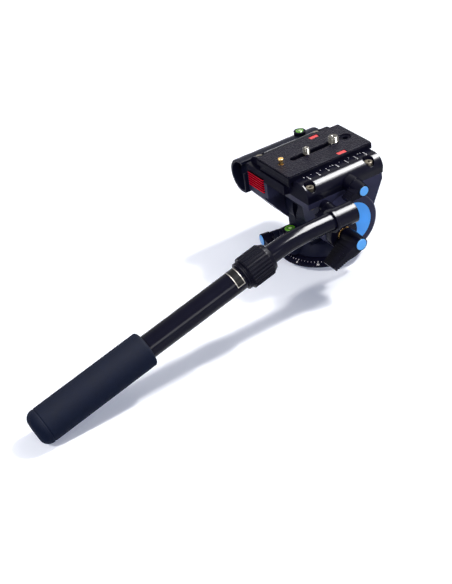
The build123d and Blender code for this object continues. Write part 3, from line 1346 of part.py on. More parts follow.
with BuildPart() as bar_lock_washer:
    with BuildSketch(yz_at(BRACKET_FACE_X)):
        with Locations((ROSETTE_Y, TILT_Z)):
            Circle(BRASS_WASHER_R)
            Circle(LEVER_STUD_R + RUN, mode=Mode.SUBTRACT)
    extrude(amount=BRASS_WASHER_T)
bar_lock_washer.part.label = "bar_lock_washer"
export_step(bar_lock_washer.part, "parts/bar_lock_washer.step")

# Bar bracket: disc on the rosette, neck, and the barrel that holds the arm
disc_in_x = CHEEK_OUT + COVER_RIGHT_T + ROSETTE_T + RUN

with BuildPart() as bar_bracket:
    with BuildSketch(yz_at(disc_in_x)):
        with Locations((ROSETTE_Y, TILT_Z)):
            Circle(BRACKET_DISC_R)
    extrude(amount=BRACKET_FACE_X - disc_in_x)
    with BuildSketch(Plane.XZ.offset(-BRACKET_NECK_FRONT_Y)):
        with BuildLine():
            Polyline(*zip(NECK_XS, NECK_ZS), close=True)
        make_face()
    extrude(amount=BRACKET_NECK_FRONT_Y - BRACKET_NECK_BACK_Y)
    with BuildSketch(Plane.XZ.offset(-BARREL_FRONT_Y)):
        with Locations((BAR_X, BAR_Z)):
            Circle(BARREL_R)
    extrude(amount=BARREL_FRONT_Y - BARREL_BACK_Y)
    fillet(bar_bracket.edges().filter_by(GeomType.CIRCLE).sort_by(Axis.Y)[-1], SOFT_EDGE)
    with BuildSketch(Plane.XZ.offset(-BARREL_BACK_Y)):
        with Locations((BAR_X, BAR_Z)):
            Circle(BARREL_LIP_R)
    extrude(amount=-BARREL_LIP_L)
    with BuildSketch(Plane.XZ.offset(-BARREL_BACK_Y)):
        with Locations((BAR_X, BAR_Z)):
            Circle(ARM_R + SEAT)
    extrude(amount=BARREL_FLOOR + BARREL_BACK_Y - BARREL_FRONT_Y, mode=Mode.SUBTRACT)
    with BuildSketch(yz_at(disc_in_x)):
        with Locations((ROSETTE_Y, TILT_Z)):
            Circle(LEVER_STUD_R + RUN)
    extrude(amount=BRACKET_FACE_X - disc_in_x, mode=Mode.SUBTRACT)
bar_bracket.part.label = "bar_bracket"
export_step(bar_bracket.part, "parts/bar_bracket.step")

# Inner arm: thin tube from the barrel through the bend into the outer tube
bend_half = math.radians(BAR_SLOPE / 2)
arm_front_y = BARREL_FRONT_Y - BARREL_FLOOR

with BuildPart() as bar_arm:
    with BuildLine():
        Line((BAR_X, arm_front_y, BAR_Z), (BAR_X, ARM_BEND_Y, BAR_Z))
        ThreePointArc(
            (BAR_X, ARM_BEND_Y, BAR_Z),
            (
                BAR_X,
                ARM_BEND_Y - ARM_BEND_R * math.sin(bend_half),
                BAR_Z - ARM_BEND_R * (1 - math.cos(bend_half)),
            ),
            station(0).origin,
        )
        Line(station(0).origin, station(ARM_STRAIGHT).origin)
    with BuildSketch(Plane(origin=(BAR_X, arm_front_y, BAR_Z), z_dir=(0, -1, 0))):
        Circle(ARM_R)
        Circle(ARM_R - ARM_WALL, mode=Mode.SUBTRACT)
    sweep()
bar_arm.part.label = "bar_arm"
export_step(bar_arm.part, "parts/bar_arm.step")

# Outer tube that slides over the arm
with BuildPart() as bar_outer_tube:
    with BuildSketch(station(TUBE_START)):
        Circle(TUBE_R)
        Circle(ARM_R + RUN, mode=Mode.SUBTRACT)
    extrude(amount=TUBE_END - TUBE_START)
bar_outer_tube.part.label = "bar_outer_tube"
export_step(bar_outer_tube.part, "parts/bar_outer_tube.step")

# Split collet on the tube under the collar
with BuildPart() as bar_collet:
    with BuildSketch(station(COLLET_START)):
        Circle(COLLET_R)
        Circle(TUBE_R + SEAT, mode=Mode.SUBTRACT)
        with Locations((0, COLLET_R)):
            Rectangle(COLLET_SLIT, 2 * (COLLET_R - TUBE_R + OVERRUN), mode=Mode.SUBTRACT)
    extrude(amount=COLLET_LENGTH)
bar_collet.part.label = "bar_collet"
export_step(bar_collet.part, "parts/bar_collet.step")

# Ribbed lock collar with a tapered nose and a ringed tail
collar_core_r = COLLAR_R - COLLAR_RIB_R
tail_pitch = (COLLAR_TAIL_END - COLLAR_END) / (TAIL_RINGS + 1)

with BuildPart() as bar_collar:
    with BuildSketch(station(COLLAR_START)):
        Circle(COLLAR_NOSE_R)
    with BuildSketch(station(COLLAR_START + COLLAR_TAPER_L)):
        Circle(collar_core_r)
    loft()
    with BuildSketch(station(COLLAR_START + COLLAR_TAPER_L)):
        Circle(collar_core_r)
        with PolarLocations(collar_core_r, COLLAR_RIBS):
            Circle(COLLAR_RIB_R)
    extrude(amount=COLLAR_END - COLLAR_START - COLLAR_TAPER_L)
    with BuildSketch(station(COLLAR_END)):
        Circle(COLLAR_TAIL_R)
    extrude(amount=COLLAR_TAIL_END - COLLAR_END)
    for number in range(TAIL_RINGS):
        with BuildSketch(station(COLLAR_END + tail_pitch * (number + 1) - TAIL_RING_GROOVE / 2)):
            Circle(COLLAR_TAIL_R + OVERRUN)
            Circle(COLLAR_TAIL_R - TAIL_RING_GROOVE, mode=Mode.SUBTRACT)
        extrude(amount=TAIL_RING_GROOVE, mode=Mode.SUBTRACT)
    with BuildSketch(station(COLLAR_START)):
        Circle(TUBE_R + RUN)
    extrude(amount=COLLAR_TAIL_END - COLLAR_START, mode=Mode.SUBTRACT)
    with BuildSketch(station(COLLET_START - GAP)):
        Circle(COLLET_R + RUN)
    extrude(amount=COLLET_LENGTH + 2 * GAP, mode=Mode.SUBTRACT)
bar_collar.part.label = "bar_collar"
export_step(bar_collar.part, "parts/bar_collar.step")

# Rubber hand grip with a closed, rounded end
with BuildPart() as bar_grip:
    with BuildSketch(station(GRIP_START)):
        Circle(GRIP_R)
    extrude(amount=GRIP_END - GRIP_START)
    grip_rims = bar_grip.edges().filter_by(GeomType.CIRCLE).sort_by(Axis.Y)
    fillet(grip_rims[0], GRIP_ROUND)
    fillet(bar_grip.edges().filter_by(GeomType.CIRCLE).sort_by(Axis.Y)[-1], GRIP_MOUTH_ROUND)
    with BuildSketch(station(GRIP_START)):
        Circle(TUBE_R + SEAT)
    extrude(amount=TUBE_END - GRIP_START + GAP, mode=Mode.SUBTRACT)
    with BuildSketch(station(GRIP_LIP_S)):
        Circle(GRIP_R + OVERRUN)
        Circle(GRIP_R - GRIP_LIP_DEPTH, mode=Mode.SUBTRACT)
    extrude(amount=GRIP_LIP_W, mode=Mode.SUBTRACT)
bar_grip.part.label = "bar_grip"
export_step(bar_grip.part, "parts/bar_grip.step")
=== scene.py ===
"""Fluid video head: finish, fine detail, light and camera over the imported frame. Metres."""

import math

import bmesh
import bpy
from mathutils import Euler, Matrix, Vector


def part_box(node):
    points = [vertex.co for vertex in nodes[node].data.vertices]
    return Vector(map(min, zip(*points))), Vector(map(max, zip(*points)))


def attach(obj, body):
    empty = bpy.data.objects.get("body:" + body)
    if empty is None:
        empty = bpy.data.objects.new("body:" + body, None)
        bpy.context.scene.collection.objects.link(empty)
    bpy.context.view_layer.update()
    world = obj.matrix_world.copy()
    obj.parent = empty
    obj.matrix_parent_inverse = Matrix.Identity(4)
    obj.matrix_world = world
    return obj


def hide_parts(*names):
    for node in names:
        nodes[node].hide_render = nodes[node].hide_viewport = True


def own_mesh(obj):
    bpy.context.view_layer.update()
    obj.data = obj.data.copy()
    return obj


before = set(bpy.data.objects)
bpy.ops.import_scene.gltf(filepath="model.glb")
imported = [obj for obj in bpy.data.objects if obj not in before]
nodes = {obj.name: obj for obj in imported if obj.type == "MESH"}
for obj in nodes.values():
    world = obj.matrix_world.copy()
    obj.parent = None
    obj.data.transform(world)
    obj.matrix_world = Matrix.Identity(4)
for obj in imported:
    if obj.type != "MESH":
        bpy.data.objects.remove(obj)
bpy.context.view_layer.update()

MM = 0.001
INCH = 25.4

# Camera of the photograph
IMAGE_W = 452
FOCAL_PX = 1191.83
SENSOR_MM = 36.0
CLIP_START = 0.01
CAMERA_AT = (0.77420, -0.50976, 0.59426)
CAMERA_TURN = (55.592, 7.183, 57.518)

# Studio lamps: name, direction seen from the object, width and height in metres, power in watts
LAMP_AIM = Vector((0.02, -0.06, 0.03))
LAMP_DISTANCE = 4.0
LAMPS = (
    ("front_lamp", (0.17, 0.66, 1.0), (0.4, 0.4), 102),
    ("rear_lamp", (0.25, -0.90, 1.0), (0.4, 0.4), 86),
    ("side_fill", (1.0, -0.05, 0.35), (2.0, 1.2), 72),
)

# Broad panel that only glossy surfaces see, for the pale bands on the rails and the bar
SHEEN_LAMP = ("sheen_panel", (0.13, 0.46, 0.87), (3.6, 1.2), 1600)

# Surroundings: the faint light on diffuse surfaces, and what camera, gloss and glass see
AMBIENT = 0.17
AMBIENT_TINT = (0.88, 0.91, 1.0)
BACKDROP = (1.0, 1.0, 1.0)

# Floor paper: its colour, the pale blue that lifts its shadows, and the colour it throws back
FLOOR_HALF = 4.0
PAPER = (0.95, 0.95, 0.96)
PAPER_ROUGHNESS = 0.9
PAPER_LIFT = (0.115, 0.135, 0.205)
PAPER_BOUNCE = (0.36, 0.36, 0.38)


def add_object(name, data):
    """New object in the scene."""
    obj = bpy.data.objects.new(name, data)
    bpy.context.scene.collection.objects.link(obj)
    return obj


def place_camera():
    """Camera at the photograph's view."""
    data = bpy.data.cameras.new("camera")
    data.sensor_fit = "HORIZONTAL"
    data.sensor_width = SENSOR_MM
    data.lens = FOCAL_PX * SENSOR_MM / IMAGE_W
    data.clip_start = CLIP_START
    camera = add_object("camera", data)
    camera.location = CAMERA_AT
    camera.rotation_euler = Euler([math.radians(a) for a in CAMERA_TURN])
    bpy.context.scene.camera = camera


def area_lamp(name, direction, size, power):
    """Soft lamp that faces the object from a direction."""
    data = bpy.data.lights.new(name, "AREA")
    data.shape = "RECTANGLE"
    data.size, data.size_y = size
    data.energy = power
    lamp = add_object(name, data)
    lamp.location = LAMP_AIM + Vector(direction).normalized() * LAMP_DISTANCE
    lamp.rotation_euler = (LAMP_AIM - lamp.location).to_track_quat("-Z", "Y").to_euler()
    return lamp


def hang_lamps():
    """Studio lamps, and the panel that only glossy surfaces see."""
    for lamp in LAMPS:
        area_lamp(*lamp)
    sheen = area_lamp(*SHEEN_LAMP)
    sheen.visible_diffuse = False


def seen_rays(tree):
    """Socket that is 1 for the rays of camera, gloss and glass, and 0 for those of diffuse light."""
    path = tree.nodes.new("ShaderNodeLightPath")
    seen = path.outputs["Is Camera Ray"]
    for kind in ("Is Glossy Ray", "Is Transmission Ray"):
        either = tree.nodes.new("ShaderNodeMath")
        either.operation = "MAXIMUM"
        tree.links.new(seen, either.inputs[0])
        tree.links.new(path.outputs[kind], either.inputs[1])
        seen = either.outputs[0]
    return seen


def split_by_ray(tree, hidden, shown):
    """One shader for diffuse light, another for the rays of camera, gloss and glass."""
    mix = tree.nodes.new("ShaderNodeMixShader")
    tree.links.new(seen_rays(tree), mix.inputs[0])
    tree.links.new(hidden.outputs[0], mix.inputs[1])
    tree.links.new(shown.outputs[0], mix.inputs[2])
    return mix.outputs[0]


def light_world():
    """White surroundings that light diffuse surfaces only faintly."""
    world = bpy.data.worlds.new("studio")
    bpy.context.scene.world = world
    world.use_nodes = True
    tree = world.node_tree
    tree.nodes.clear()
    shown = tree.nodes.new("ShaderNodeBackground")
    shown.inputs["Color"].default_value = (*BACKDROP, 1)
    fill = tree.nodes.new("ShaderNodeBackground")
    fill.inputs["Color"].default_value = (*AMBIENT_TINT, 1)
    fill.inputs["Strength"].default_value = AMBIENT
    out = tree.nodes.new("ShaderNodeOutputWorld")
    tree.links.new(split_by_ray(tree, fill, shown), out.inputs["Surface"])


def paper_finish():
    """Pale paper that keeps shadows, lifts them a little and throws back less than it shows."""
    paper = bpy.data.materials.new("floor_paper")
    paper.use_nodes = True
    tree = paper.node_tree
    white = tree.nodes["Principled BSDF"]
    white.inputs["Base Color"].default_value = (*PAPER, 1)
    white.inputs["Roughness"].default_value = PAPER_ROUGHNESS
    lift = tree.nodes.new("ShaderNodeEmission")
    lift.inputs["Color"].default_value = (*PAPER_LIFT, 1)
    shown = tree.nodes.new("ShaderNodeAddShader")
    tree.links.new(white.outputs[0], shown.inputs[0])
    tree.links.new(lift.outputs[0], shown.inputs[1])
    bounce = tree.nodes.new("ShaderNodeBsdfDiffuse")
    bounce.inputs["Color"].default_value = (*PAPER_BOUNCE, 1)
    surface_socket = tree.nodes["Material Output"].inputs["Surface"]
    tree.links.new(split_by_ray(tree, bounce, shown), surface_socket)
    return paper


def lay_floor():
    """Paper floor at the base's underside."""
    mesh = bpy.data.meshes.new("floor")
    half = FLOOR_HALF
    corners = [(-half, -half, 0), (half, -half, 0), (half, half, 0), (-half, half, 0)]
    mesh.from_pydata(corners, [], [(0, 1, 2, 3)])
    floor = add_object("floor", mesh)
    mesh.materials.append(paper_finish())


# Faint variation of a finish: the cloud over its colour, and how far its roughness follows it
CLOUD_SCALE = 90.0
CLOUD_DETAIL = 4.0
CLOUD_RAMP = (0.3, 0.7)
ROUGHNESS_SPREAD = 0.12
COAT_ROUGHNESS = 0.08

# Radius, in millimetres, over which a finish softens the light on its edges
EDGE_SHINE_MM = 0.45
EDGE_SAMPLES = 6

# Grain of a finish: strength, and size in millimetres
GRAIN_DETAIL = 2.0
METAL_GRAIN = (0.05, 0.2)
PLASTIC_GRAIN = (0.05, 0.3)

# Raised pebbles of the plate's pad
PEBBLE_MM = 1.3
PEBBLE_DEPTH_MM = 0.5
PEBBLE_RANDOMNESS = 0.6

# Painted shade in the grooves across the release button: places in millimetres, then the ramp of the dark
# bands and how dark the painted shade is
BUTTON_LOW_Z = 70.5
BUTTON_HEIGHT = 14.3
BUTTON_GROOVES = 6
BUTTON_GROOVE_PITCH = BUTTON_HEIGHT / BUTTON_GROOVES
BUTTON_FIRST_GROOVE_Z = BUTTON_LOW_Z + BUTTON_GROOVE_PITCH
GROOVE_RAMP = (0.58, 0.76)
GROOVE_PAINTED_SHADE = 0.01

# The wave texture runs through this many radians over each unit of its scale
WAVE_RADIANS = 20


def own_place(tree):
    """Socket with the place on the object itself."""
    return tree.nodes.new("ShaderNodeTexCoord").outputs["Object"]


def ramp_between(tree, factor, positions, colors):
    """Socket that runs from one colour to another between two positions of a factor."""
    ramp = tree.nodes.new("ShaderNodeValToRGB")
    for stop in (0, 1):
        ramp.color_ramp.elements[stop].position = positions[stop]
        ramp.color_ramp.elements[stop].color = (*colors[stop], 1)
    tree.links.new(factor, ramp.inputs["Fac"])
    return ramp.outputs["Color"]


def bump_from(tree, height, strength, depth_mm):
    """Bump node that gives the shader its normal."""
    bump = tree.nodes.new("ShaderNodeBump")
    bump.inputs["Strength"].default_value = strength
    bump.inputs["Distance"].default_value = depth_mm * MM
    tree.links.new(height, bump.inputs["Height"])
    tree.links.new(bump.outputs["Normal"], tree.nodes["Principled BSDF"].inputs["Normal"])
    return bump


def smooth(name, color, roughness, vary, gloss, metallic=0.0, coat=0.0):
    """Procedural finish whose colour and roughness vary faintly."""
    mat = bpy.data.materials.new(name)
    mat.use_nodes = True
    tree = mat.node_tree
    bsdf = tree.nodes["Principled BSDF"]
    bsdf.inputs["Metallic"].default_value = metallic
    bsdf.inputs["Roughness"].default_value = roughness
    bsdf.inputs["Specular IOR Level"].default_value = gloss
    bsdf.inputs["Coat Weight"].default_value = coat
    bsdf.inputs["Coat Roughness"].default_value = COAT_ROUGHNESS
    cloud = tree.nodes.new("ShaderNodeTexNoise")
    cloud.inputs["Scale"].default_value = CLOUD_SCALE
    cloud.inputs["Detail"].default_value = CLOUD_DETAIL
    tree.links.new(own_place(tree), cloud.inputs["Vector"])
    low = [c * (1 - vary) for c in color]
    high = [min(1.0, c * (1 + vary)) for c in color]
    shade = ramp_between(tree, cloud.outputs["Fac"], CLOUD_RAMP, (low, high))
    tree.links.new(shade, bsdf.inputs["Base Color"])
    spread = tree.nodes.new("ShaderNodeMapRange")
    spread.inputs["To Min"].default_value = roughness * (1 - ROUGHNESS_SPREAD)
    spread.inputs["To Max"].default_value = min(1.0, roughness * (1 + ROUGHNESS_SPREAD))
    tree.links.new(cloud.outputs["Fac"], spread.inputs["Value"])
    tree.links.new(spread.outputs["Result"], bsdf.inputs["Roughness"])
    return mat


def surface(name, color, roughness, vary, gloss=0.5, metallic=0.0, coat=0.0, grain=None):
    """Smooth finish that catches soft light on its edges, with or without a fine grain."""
    mat = smooth(name, color, roughness, vary, gloss, metallic, coat)
    tree = mat.node_tree
    rounded = tree.nodes.new("ShaderNodeBevel")
    rounded.samples = EDGE_SAMPLES
    rounded.inputs["Radius"].default_value = EDGE_SHINE_MM * MM
    tree.links.new(rounded.outputs["Normal"], tree.nodes["Principled BSDF"].inputs["Normal"])
    if grain:
        strength, size_mm = grain
        speck = tree.nodes.new("ShaderNodeTexNoise")
        speck.inputs["Scale"].default_value = 1.0 / (size_mm * MM)
        speck.inputs["Detail"].default_value = GRAIN_DETAIL
        tree.links.new(own_place(tree), speck.inputs["Vector"])
        bump = bump_from(tree, speck.outputs["Fac"], strength, size_mm)
        tree.links.new(rounded.outputs["Normal"], bump.inputs["Normal"])
    return mat


def pebbled(name, color, roughness, vary, gloss):
    """Rubber with raised round pebbles."""
    mat = smooth(name, color, roughness, vary, gloss)
    tree = mat.node_tree
    cells = tree.nodes.new("ShaderNodeTexVoronoi")
    cells.feature = "SMOOTH_F1"
    cells.inputs["Scale"].default_value = 1.0 / (PEBBLE_MM * MM)
    cells.inputs["Randomness"].default_value = PEBBLE_RANDOMNESS
    tree.links.new(own_place(tree), cells.inputs["Vector"])
    bump = bump_from(tree, cells.outputs["Distance"], 1.0, PEBBLE_DEPTH_MM)
    bump.invert = True
    return mat


def grooved(mat, pitch_mm, first_mm):
    """Paints shade into a finish as dark level bands where its grooves lie, from the height of the first
    and their pitch.
    """
    tree = mat.node_tree
    base_color = tree.nodes["Principled BSDF"].inputs["Base Color"]
    color = base_color.links[0].from_socket
    bands = tree.nodes.new("ShaderNodeTexWave")
    bands.bands_direction = "Z"
    turns = 2 * math.pi / (pitch_mm * MM)
    bands.inputs["Scale"].default_value = turns / WAVE_RADIANS
    bands.inputs["Phase Offset"].default_value = -turns * first_mm * MM
    tree.links.new(own_place(tree), bands.inputs["Vector"])
    # Near-black bands multiplied into the colour: painted shade in the grooves
    shades = ([GROOVE_PAINTED_SHADE] * 3, [1.0] * 3)
    shade = ramp_between(tree, bands.outputs["Fac"], GROOVE_RAMP, shades)
    mix = tree.nodes.new("ShaderNodeMixRGB")
    mix.blend_type = "MULTIPLY"
    mix.inputs["Fac"].default_value = 1.0
    tree.links.new(color, mix.inputs["Color1"])
    tree.links.new(shade, mix.inputs["Color2"])
    tree.links.new(mix.outputs["Color"], base_color)
    return mat


# Finishes: name, colour and roughness, then how the rest departs from plain
ANODISED = surface("anodised_black", (0.004, 0.004, 0.012), 0.2, vary=0.1, gloss=0.08, grain=(0.03, 0.25))
TUBE_BLACK = surface("tube_black", (0.003, 0.003, 0.011), 0.15, vary=0.08, gloss=0.08)
CAST_PAINT = surface("cast_paint", (0.005, 0.006, 0.017), 0.36, vary=0.15, gloss=0.05, grain=(0.25, 0.35))
DARK_PAINT = surface("dark_paint", (0.024, 0.025, 0.056), 0.36, vary=0.12, gloss=0.06, grain=(0.2, 0.3))
PLATE_PAINT = surface("plate_paint", (0.003, 0.003, 0.009), 0.4, vary=0.1, gloss=0.02, grain=(0.1, 0.3))
MOULDED = surface("moulded_black", (0.003, 0.003, 0.009), 0.34, vary=0.05, gloss=0.04, grain=(0.2, 0.25))
LEVER_BLACK = surface("lever_black", (0.003, 0.003, 0.010), 0.26, vary=0.3, gloss=0.06, grain=(0.08, 0.3))
CUT_END = surface("cut_end_black", (0.003, 0.003, 0.010), 0.5, vary=0.15, gloss=0.02, grain=(0.1, 0.4))
GRIP_RUBBER = surface("grip_rubber", (0.003, 0.006, 0.019), 0.7, vary=0.12, gloss=0.05, grain=(0.5, 0.5))
PAD_RUBBER = pebbled("pad_rubber", (0.005, 0.004, 0.013), 0.3, vary=0.1, gloss=0.06)
BLUE = surface("blue_plastic", (0.055, 0.32, 0.90), 0.32, vary=0.05, gloss=0.3, grain=PLASTIC_GRAIN)
CAP_BLUE = surface("cap_blue", (0.10, 0.40, 0.93), 0.3, vary=0.05, gloss=0.3, grain=PLASTIC_GRAIN)
RED = surface("red_plastic", (0.84, 0.002, 0.030), 0.38, vary=0.06, gloss=0.02, grain=(0.1, 0.3))
# The release button's red, with painted shade in its grooves
RED = grooved(RED, BUTTON_GROOVE_PITCH, BUTTON_FIRST_GROOVE_Z)
MARKER_RED = surface("marker_red", (0.86, 0.085, 0.09), 0.4, vary=0.06, gloss=0.15, grain=(0.1, 0.3))
STEEL = surface("nickel_steel", (0.48, 0.47, 0.45), 0.28, vary=0.08, metallic=1.0, grain=METAL_GRAIN)
SCREW_STEEL = surface("screw_steel", (0.115, 0.11, 0.10), 0.22, vary=0.12, metallic=1.0, grain=METAL_GRAIN)
BLACK_STEEL = surface("black_steel", (0.03, 0.03, 0.035), 0.35, vary=0.1, metallic=0.9, grain=METAL_GRAIN)
BRASS = surface("brass", (0.70, 0.44, 0.16), 0.26, vary=0.06, metallic=1.0, grain=METAL_GRAIN)
# Zinc of the rail screws, dimmed far below bright zinc: partly its own colour, partly painted shade of the
# pockets they sit in
POCKET_SHADED_ZINC = surface("pocket_shaded_zinc", (0.13, 0.115, 0.09), 0.34, vary=0.1, metallic=1.0, grain=METAL_GRAIN)
BRONZE = surface("sintered_bronze", (0.5, 0.34, 0.18), 0.45, vary=0.12, metallic=1.0, grain=(0.15, 0.2))
LIQUID = surface("level_liquid", (0.12, 0.42, 0.02), 0.1, vary=0.05, coat=0.6)
BUBBLE = surface("level_bubble", (0.62, 0.86, 0.38), 0.1, vary=0.05, coat=0.6)
LEVEL_INK = surface("level_ink", (0.005, 0.012, 0.004), 0.3, vary=0.05)
WHITE_INK = surface("white_ink", (0.88, 0.88, 0.90), 0.5, vary=0.04, gloss=0.3)
SILVER_FOIL = surface("silver_foil", (0.24, 0.23, 0.21), 0.35, vary=0.05, metallic=1.0)
LABEL_BLACK = surface("label_black", (0.007, 0.007, 0.008), 0.3, vary=0.1, gloss=0.1, grain=PLASTIC_GRAIN)

NODE_FINISH = {
    "base_plate": ANODISED,
    "scale_ring": ANODISED,
    "pan_spindle": STEEL,
    "pan_drag_rotor": STEEL,
    "pan_nut": STEEL,
    "base_screws": BLACK_STEEL,
    "pan_housing": CAST_PAINT,
    "pan_bushes": BRONZE,
    "pan_level_pod": MOULDED,
    "pan_level_vial": LIQUID,
    "pan_lock_lever": LEVER_BLACK,
    "pan_lock_cap": CAP_BLUE,
    "pan_lock_stud": STEEL,
    "tilt_shaft": STEEL,
    "tilt_shaft_nuts": STEEL,
    "tilt_drag_rotor": STEEL,
    "tilt_drag_stator": STEEL,
    "counterbalance_spring": STEEL,
    "tilt_bushes": BRONZE,
    "tilt_cradle": DARK_PAINT,
    "tilt_cover_right": DARK_PAINT,
    "tilt_cover_left": DARK_PAINT,
    "badge_disc": BLUE,
    "cover_screws": BLACK_STEEL,
    "bar_rosette": BLACK_STEEL,
    "platform": ANODISED,
    # Screws in the rail pockets: their dark zinc carries painted pocket shade
    "platform_screws": POCKET_SHADED_ZINC,
    "side_housing": CAST_PAINT,
    "side_housing_pin": STEEL,
    "top_level_pod": MOULDED,
    "top_level_vial": LIQUID,
    "release_button": RED,
    "safety_catch": STEEL,
    "clamp_jaw": ANODISED,
    "quick_release_plate": PLATE_PAINT,
    "plate_pad": PAD_RUBBER,
    "plate_markers": MARKER_RED,
    "quarter_washer": STEEL,
    "three_eighths_washer": STEEL,
    "video_pin": BRASS,
    "tilt_lock_lever": LEVER_BLACK,
    "tilt_lock_cap": CAP_BLUE,
    "tilt_lock_stud": STEEL,
    "plate_lock_lever": LEVER_BLACK,
    "plate_lock_cap": CAP_BLUE,
    "plate_lock_stud": STEEL,
    "bar_lock_lever": LEVER_BLACK,
    "bar_lock_cap": CAP_BLUE,
    "bar_lock_stud": STEEL,
    "bar_lock_washer": BRASS,
    "bar_bracket": ANODISED,
    "bar_arm": TUBE_BLACK,
    "bar_outer_tube": TUBE_BLACK,
    "bar_collet": MOULDED,
    "bar_collar": MOULDED,
    "bar_grip": GRIP_RUBBER,
}

# Widest edge rounds of the carried-over solids, in millimetres. Short edges in their meshes clamp
# them, so they cut very little there, and the finishes do most of the softening
EDGE_ROUND = {
    "tilt_cradle": 0.5,
    "pan_housing": 0.4,
    "platform": 0.4,
    "side_housing": 0.5,
    "quick_release_plate": 0.35,
    "plate_pad": 0.3,
    "release_button": 0.4,
    "bar_bracket": 0.5,
    "tilt_lock_lever": 0.4,
    "plate_lock_lever": 0.5,
    "pan_lock_lever": 0.5,
    "bar_lock_lever": 0.7,
    "scale_ring": 0.3,
    "base_plate": 0.3,
}
USUAL_ROUND = 0.2
ROUND_SEGMENTS = 2
ROUND_FROM_DEGREES = 38

# Seams closer than this are joined, and faces flatter than this against each other are merged
WELD_MM = 0.002
FLAT_DEGREES = 0.4

# Solids whose faces across the channel are cut ends, matt beside the bright drawn sides
CUT_ENDS = ("platform", "clamp_jaw")
CUT_END_FACING = 0.99

# Hairline gaps, in millimetres, where a moving piece comes up against its neighbour
HAIRLINE = {"pan_housing": 0.03}


def mark_cut_ends(mesh):
    """Gives the faces that look along the channel the finish of a cut end."""
    mesh.materials.append(CUT_END)
    for face in mesh.polygons:
        if abs(face.normal.y) > CUT_END_FACING:
            face.material_index = 1


def dress(node, finish):
    """Gives a solid its finish, smooth shading and softly rounded edges."""
    obj = nodes[node]
    obj.data.materials.clear()
    obj.data.materials.append(finish)
    if node in CUT_ENDS:
        mark_cut_ends(obj.data)
    weld = obj.modifiers.new("weld", "WELD")
    weld.merge_threshold = WELD_MM * MM
    flatten = obj.modifiers.new("flatten", "DECIMATE")
    flatten.decimate_type = "DISSOLVE"
    flatten.angle_limit = math.radians(FLAT_DEGREES)
    if node in HAIRLINE:
        shrink = obj.modifiers.new("hairline", "DISPLACE")
        shrink.strength = -HAIRLINE[node] * MM
        shrink.mid_level = 0.0
    bevel = obj.modifiers.new("bevel", "BEVEL")
    bevel.width = EDGE_ROUND.get(node, USUAL_ROUND) * MM
    bevel.segments = ROUND_SEGMENTS
    bevel.limit_method = "ANGLE"
    bevel.angle_limit = math.radians(ROUND_FROM_DEGREES)
    obj.data.shade_smooth()
    shade = obj.modifiers.new("normals", "WEIGHTED_NORMAL")
    shade.keep_sharp = True


# Steps around a full turn, and the angle from which the edges of added pieces stay sharp
ROUND_STEPS = 40
SHARP_DEGREES = 35

# Screw threads: rows of points in each pitch, depth as a share of the pitch, radii and pitches
THREAD_ROWS = 8
THREAD_DEPTH_SHARE = 0.58
QUARTER_R = INCH / 8
QUARTER_PITCH = INCH / 20
THREE_EIGHTHS_R = INCH * 3 / 16
THREE_EIGHTHS_PITCH = INCH / 16

# Figures: their extra weight as a share of their height, and the steps of their curves
FIGURE_WEIGHT = 0.02
FIGURE_STEPS = 2


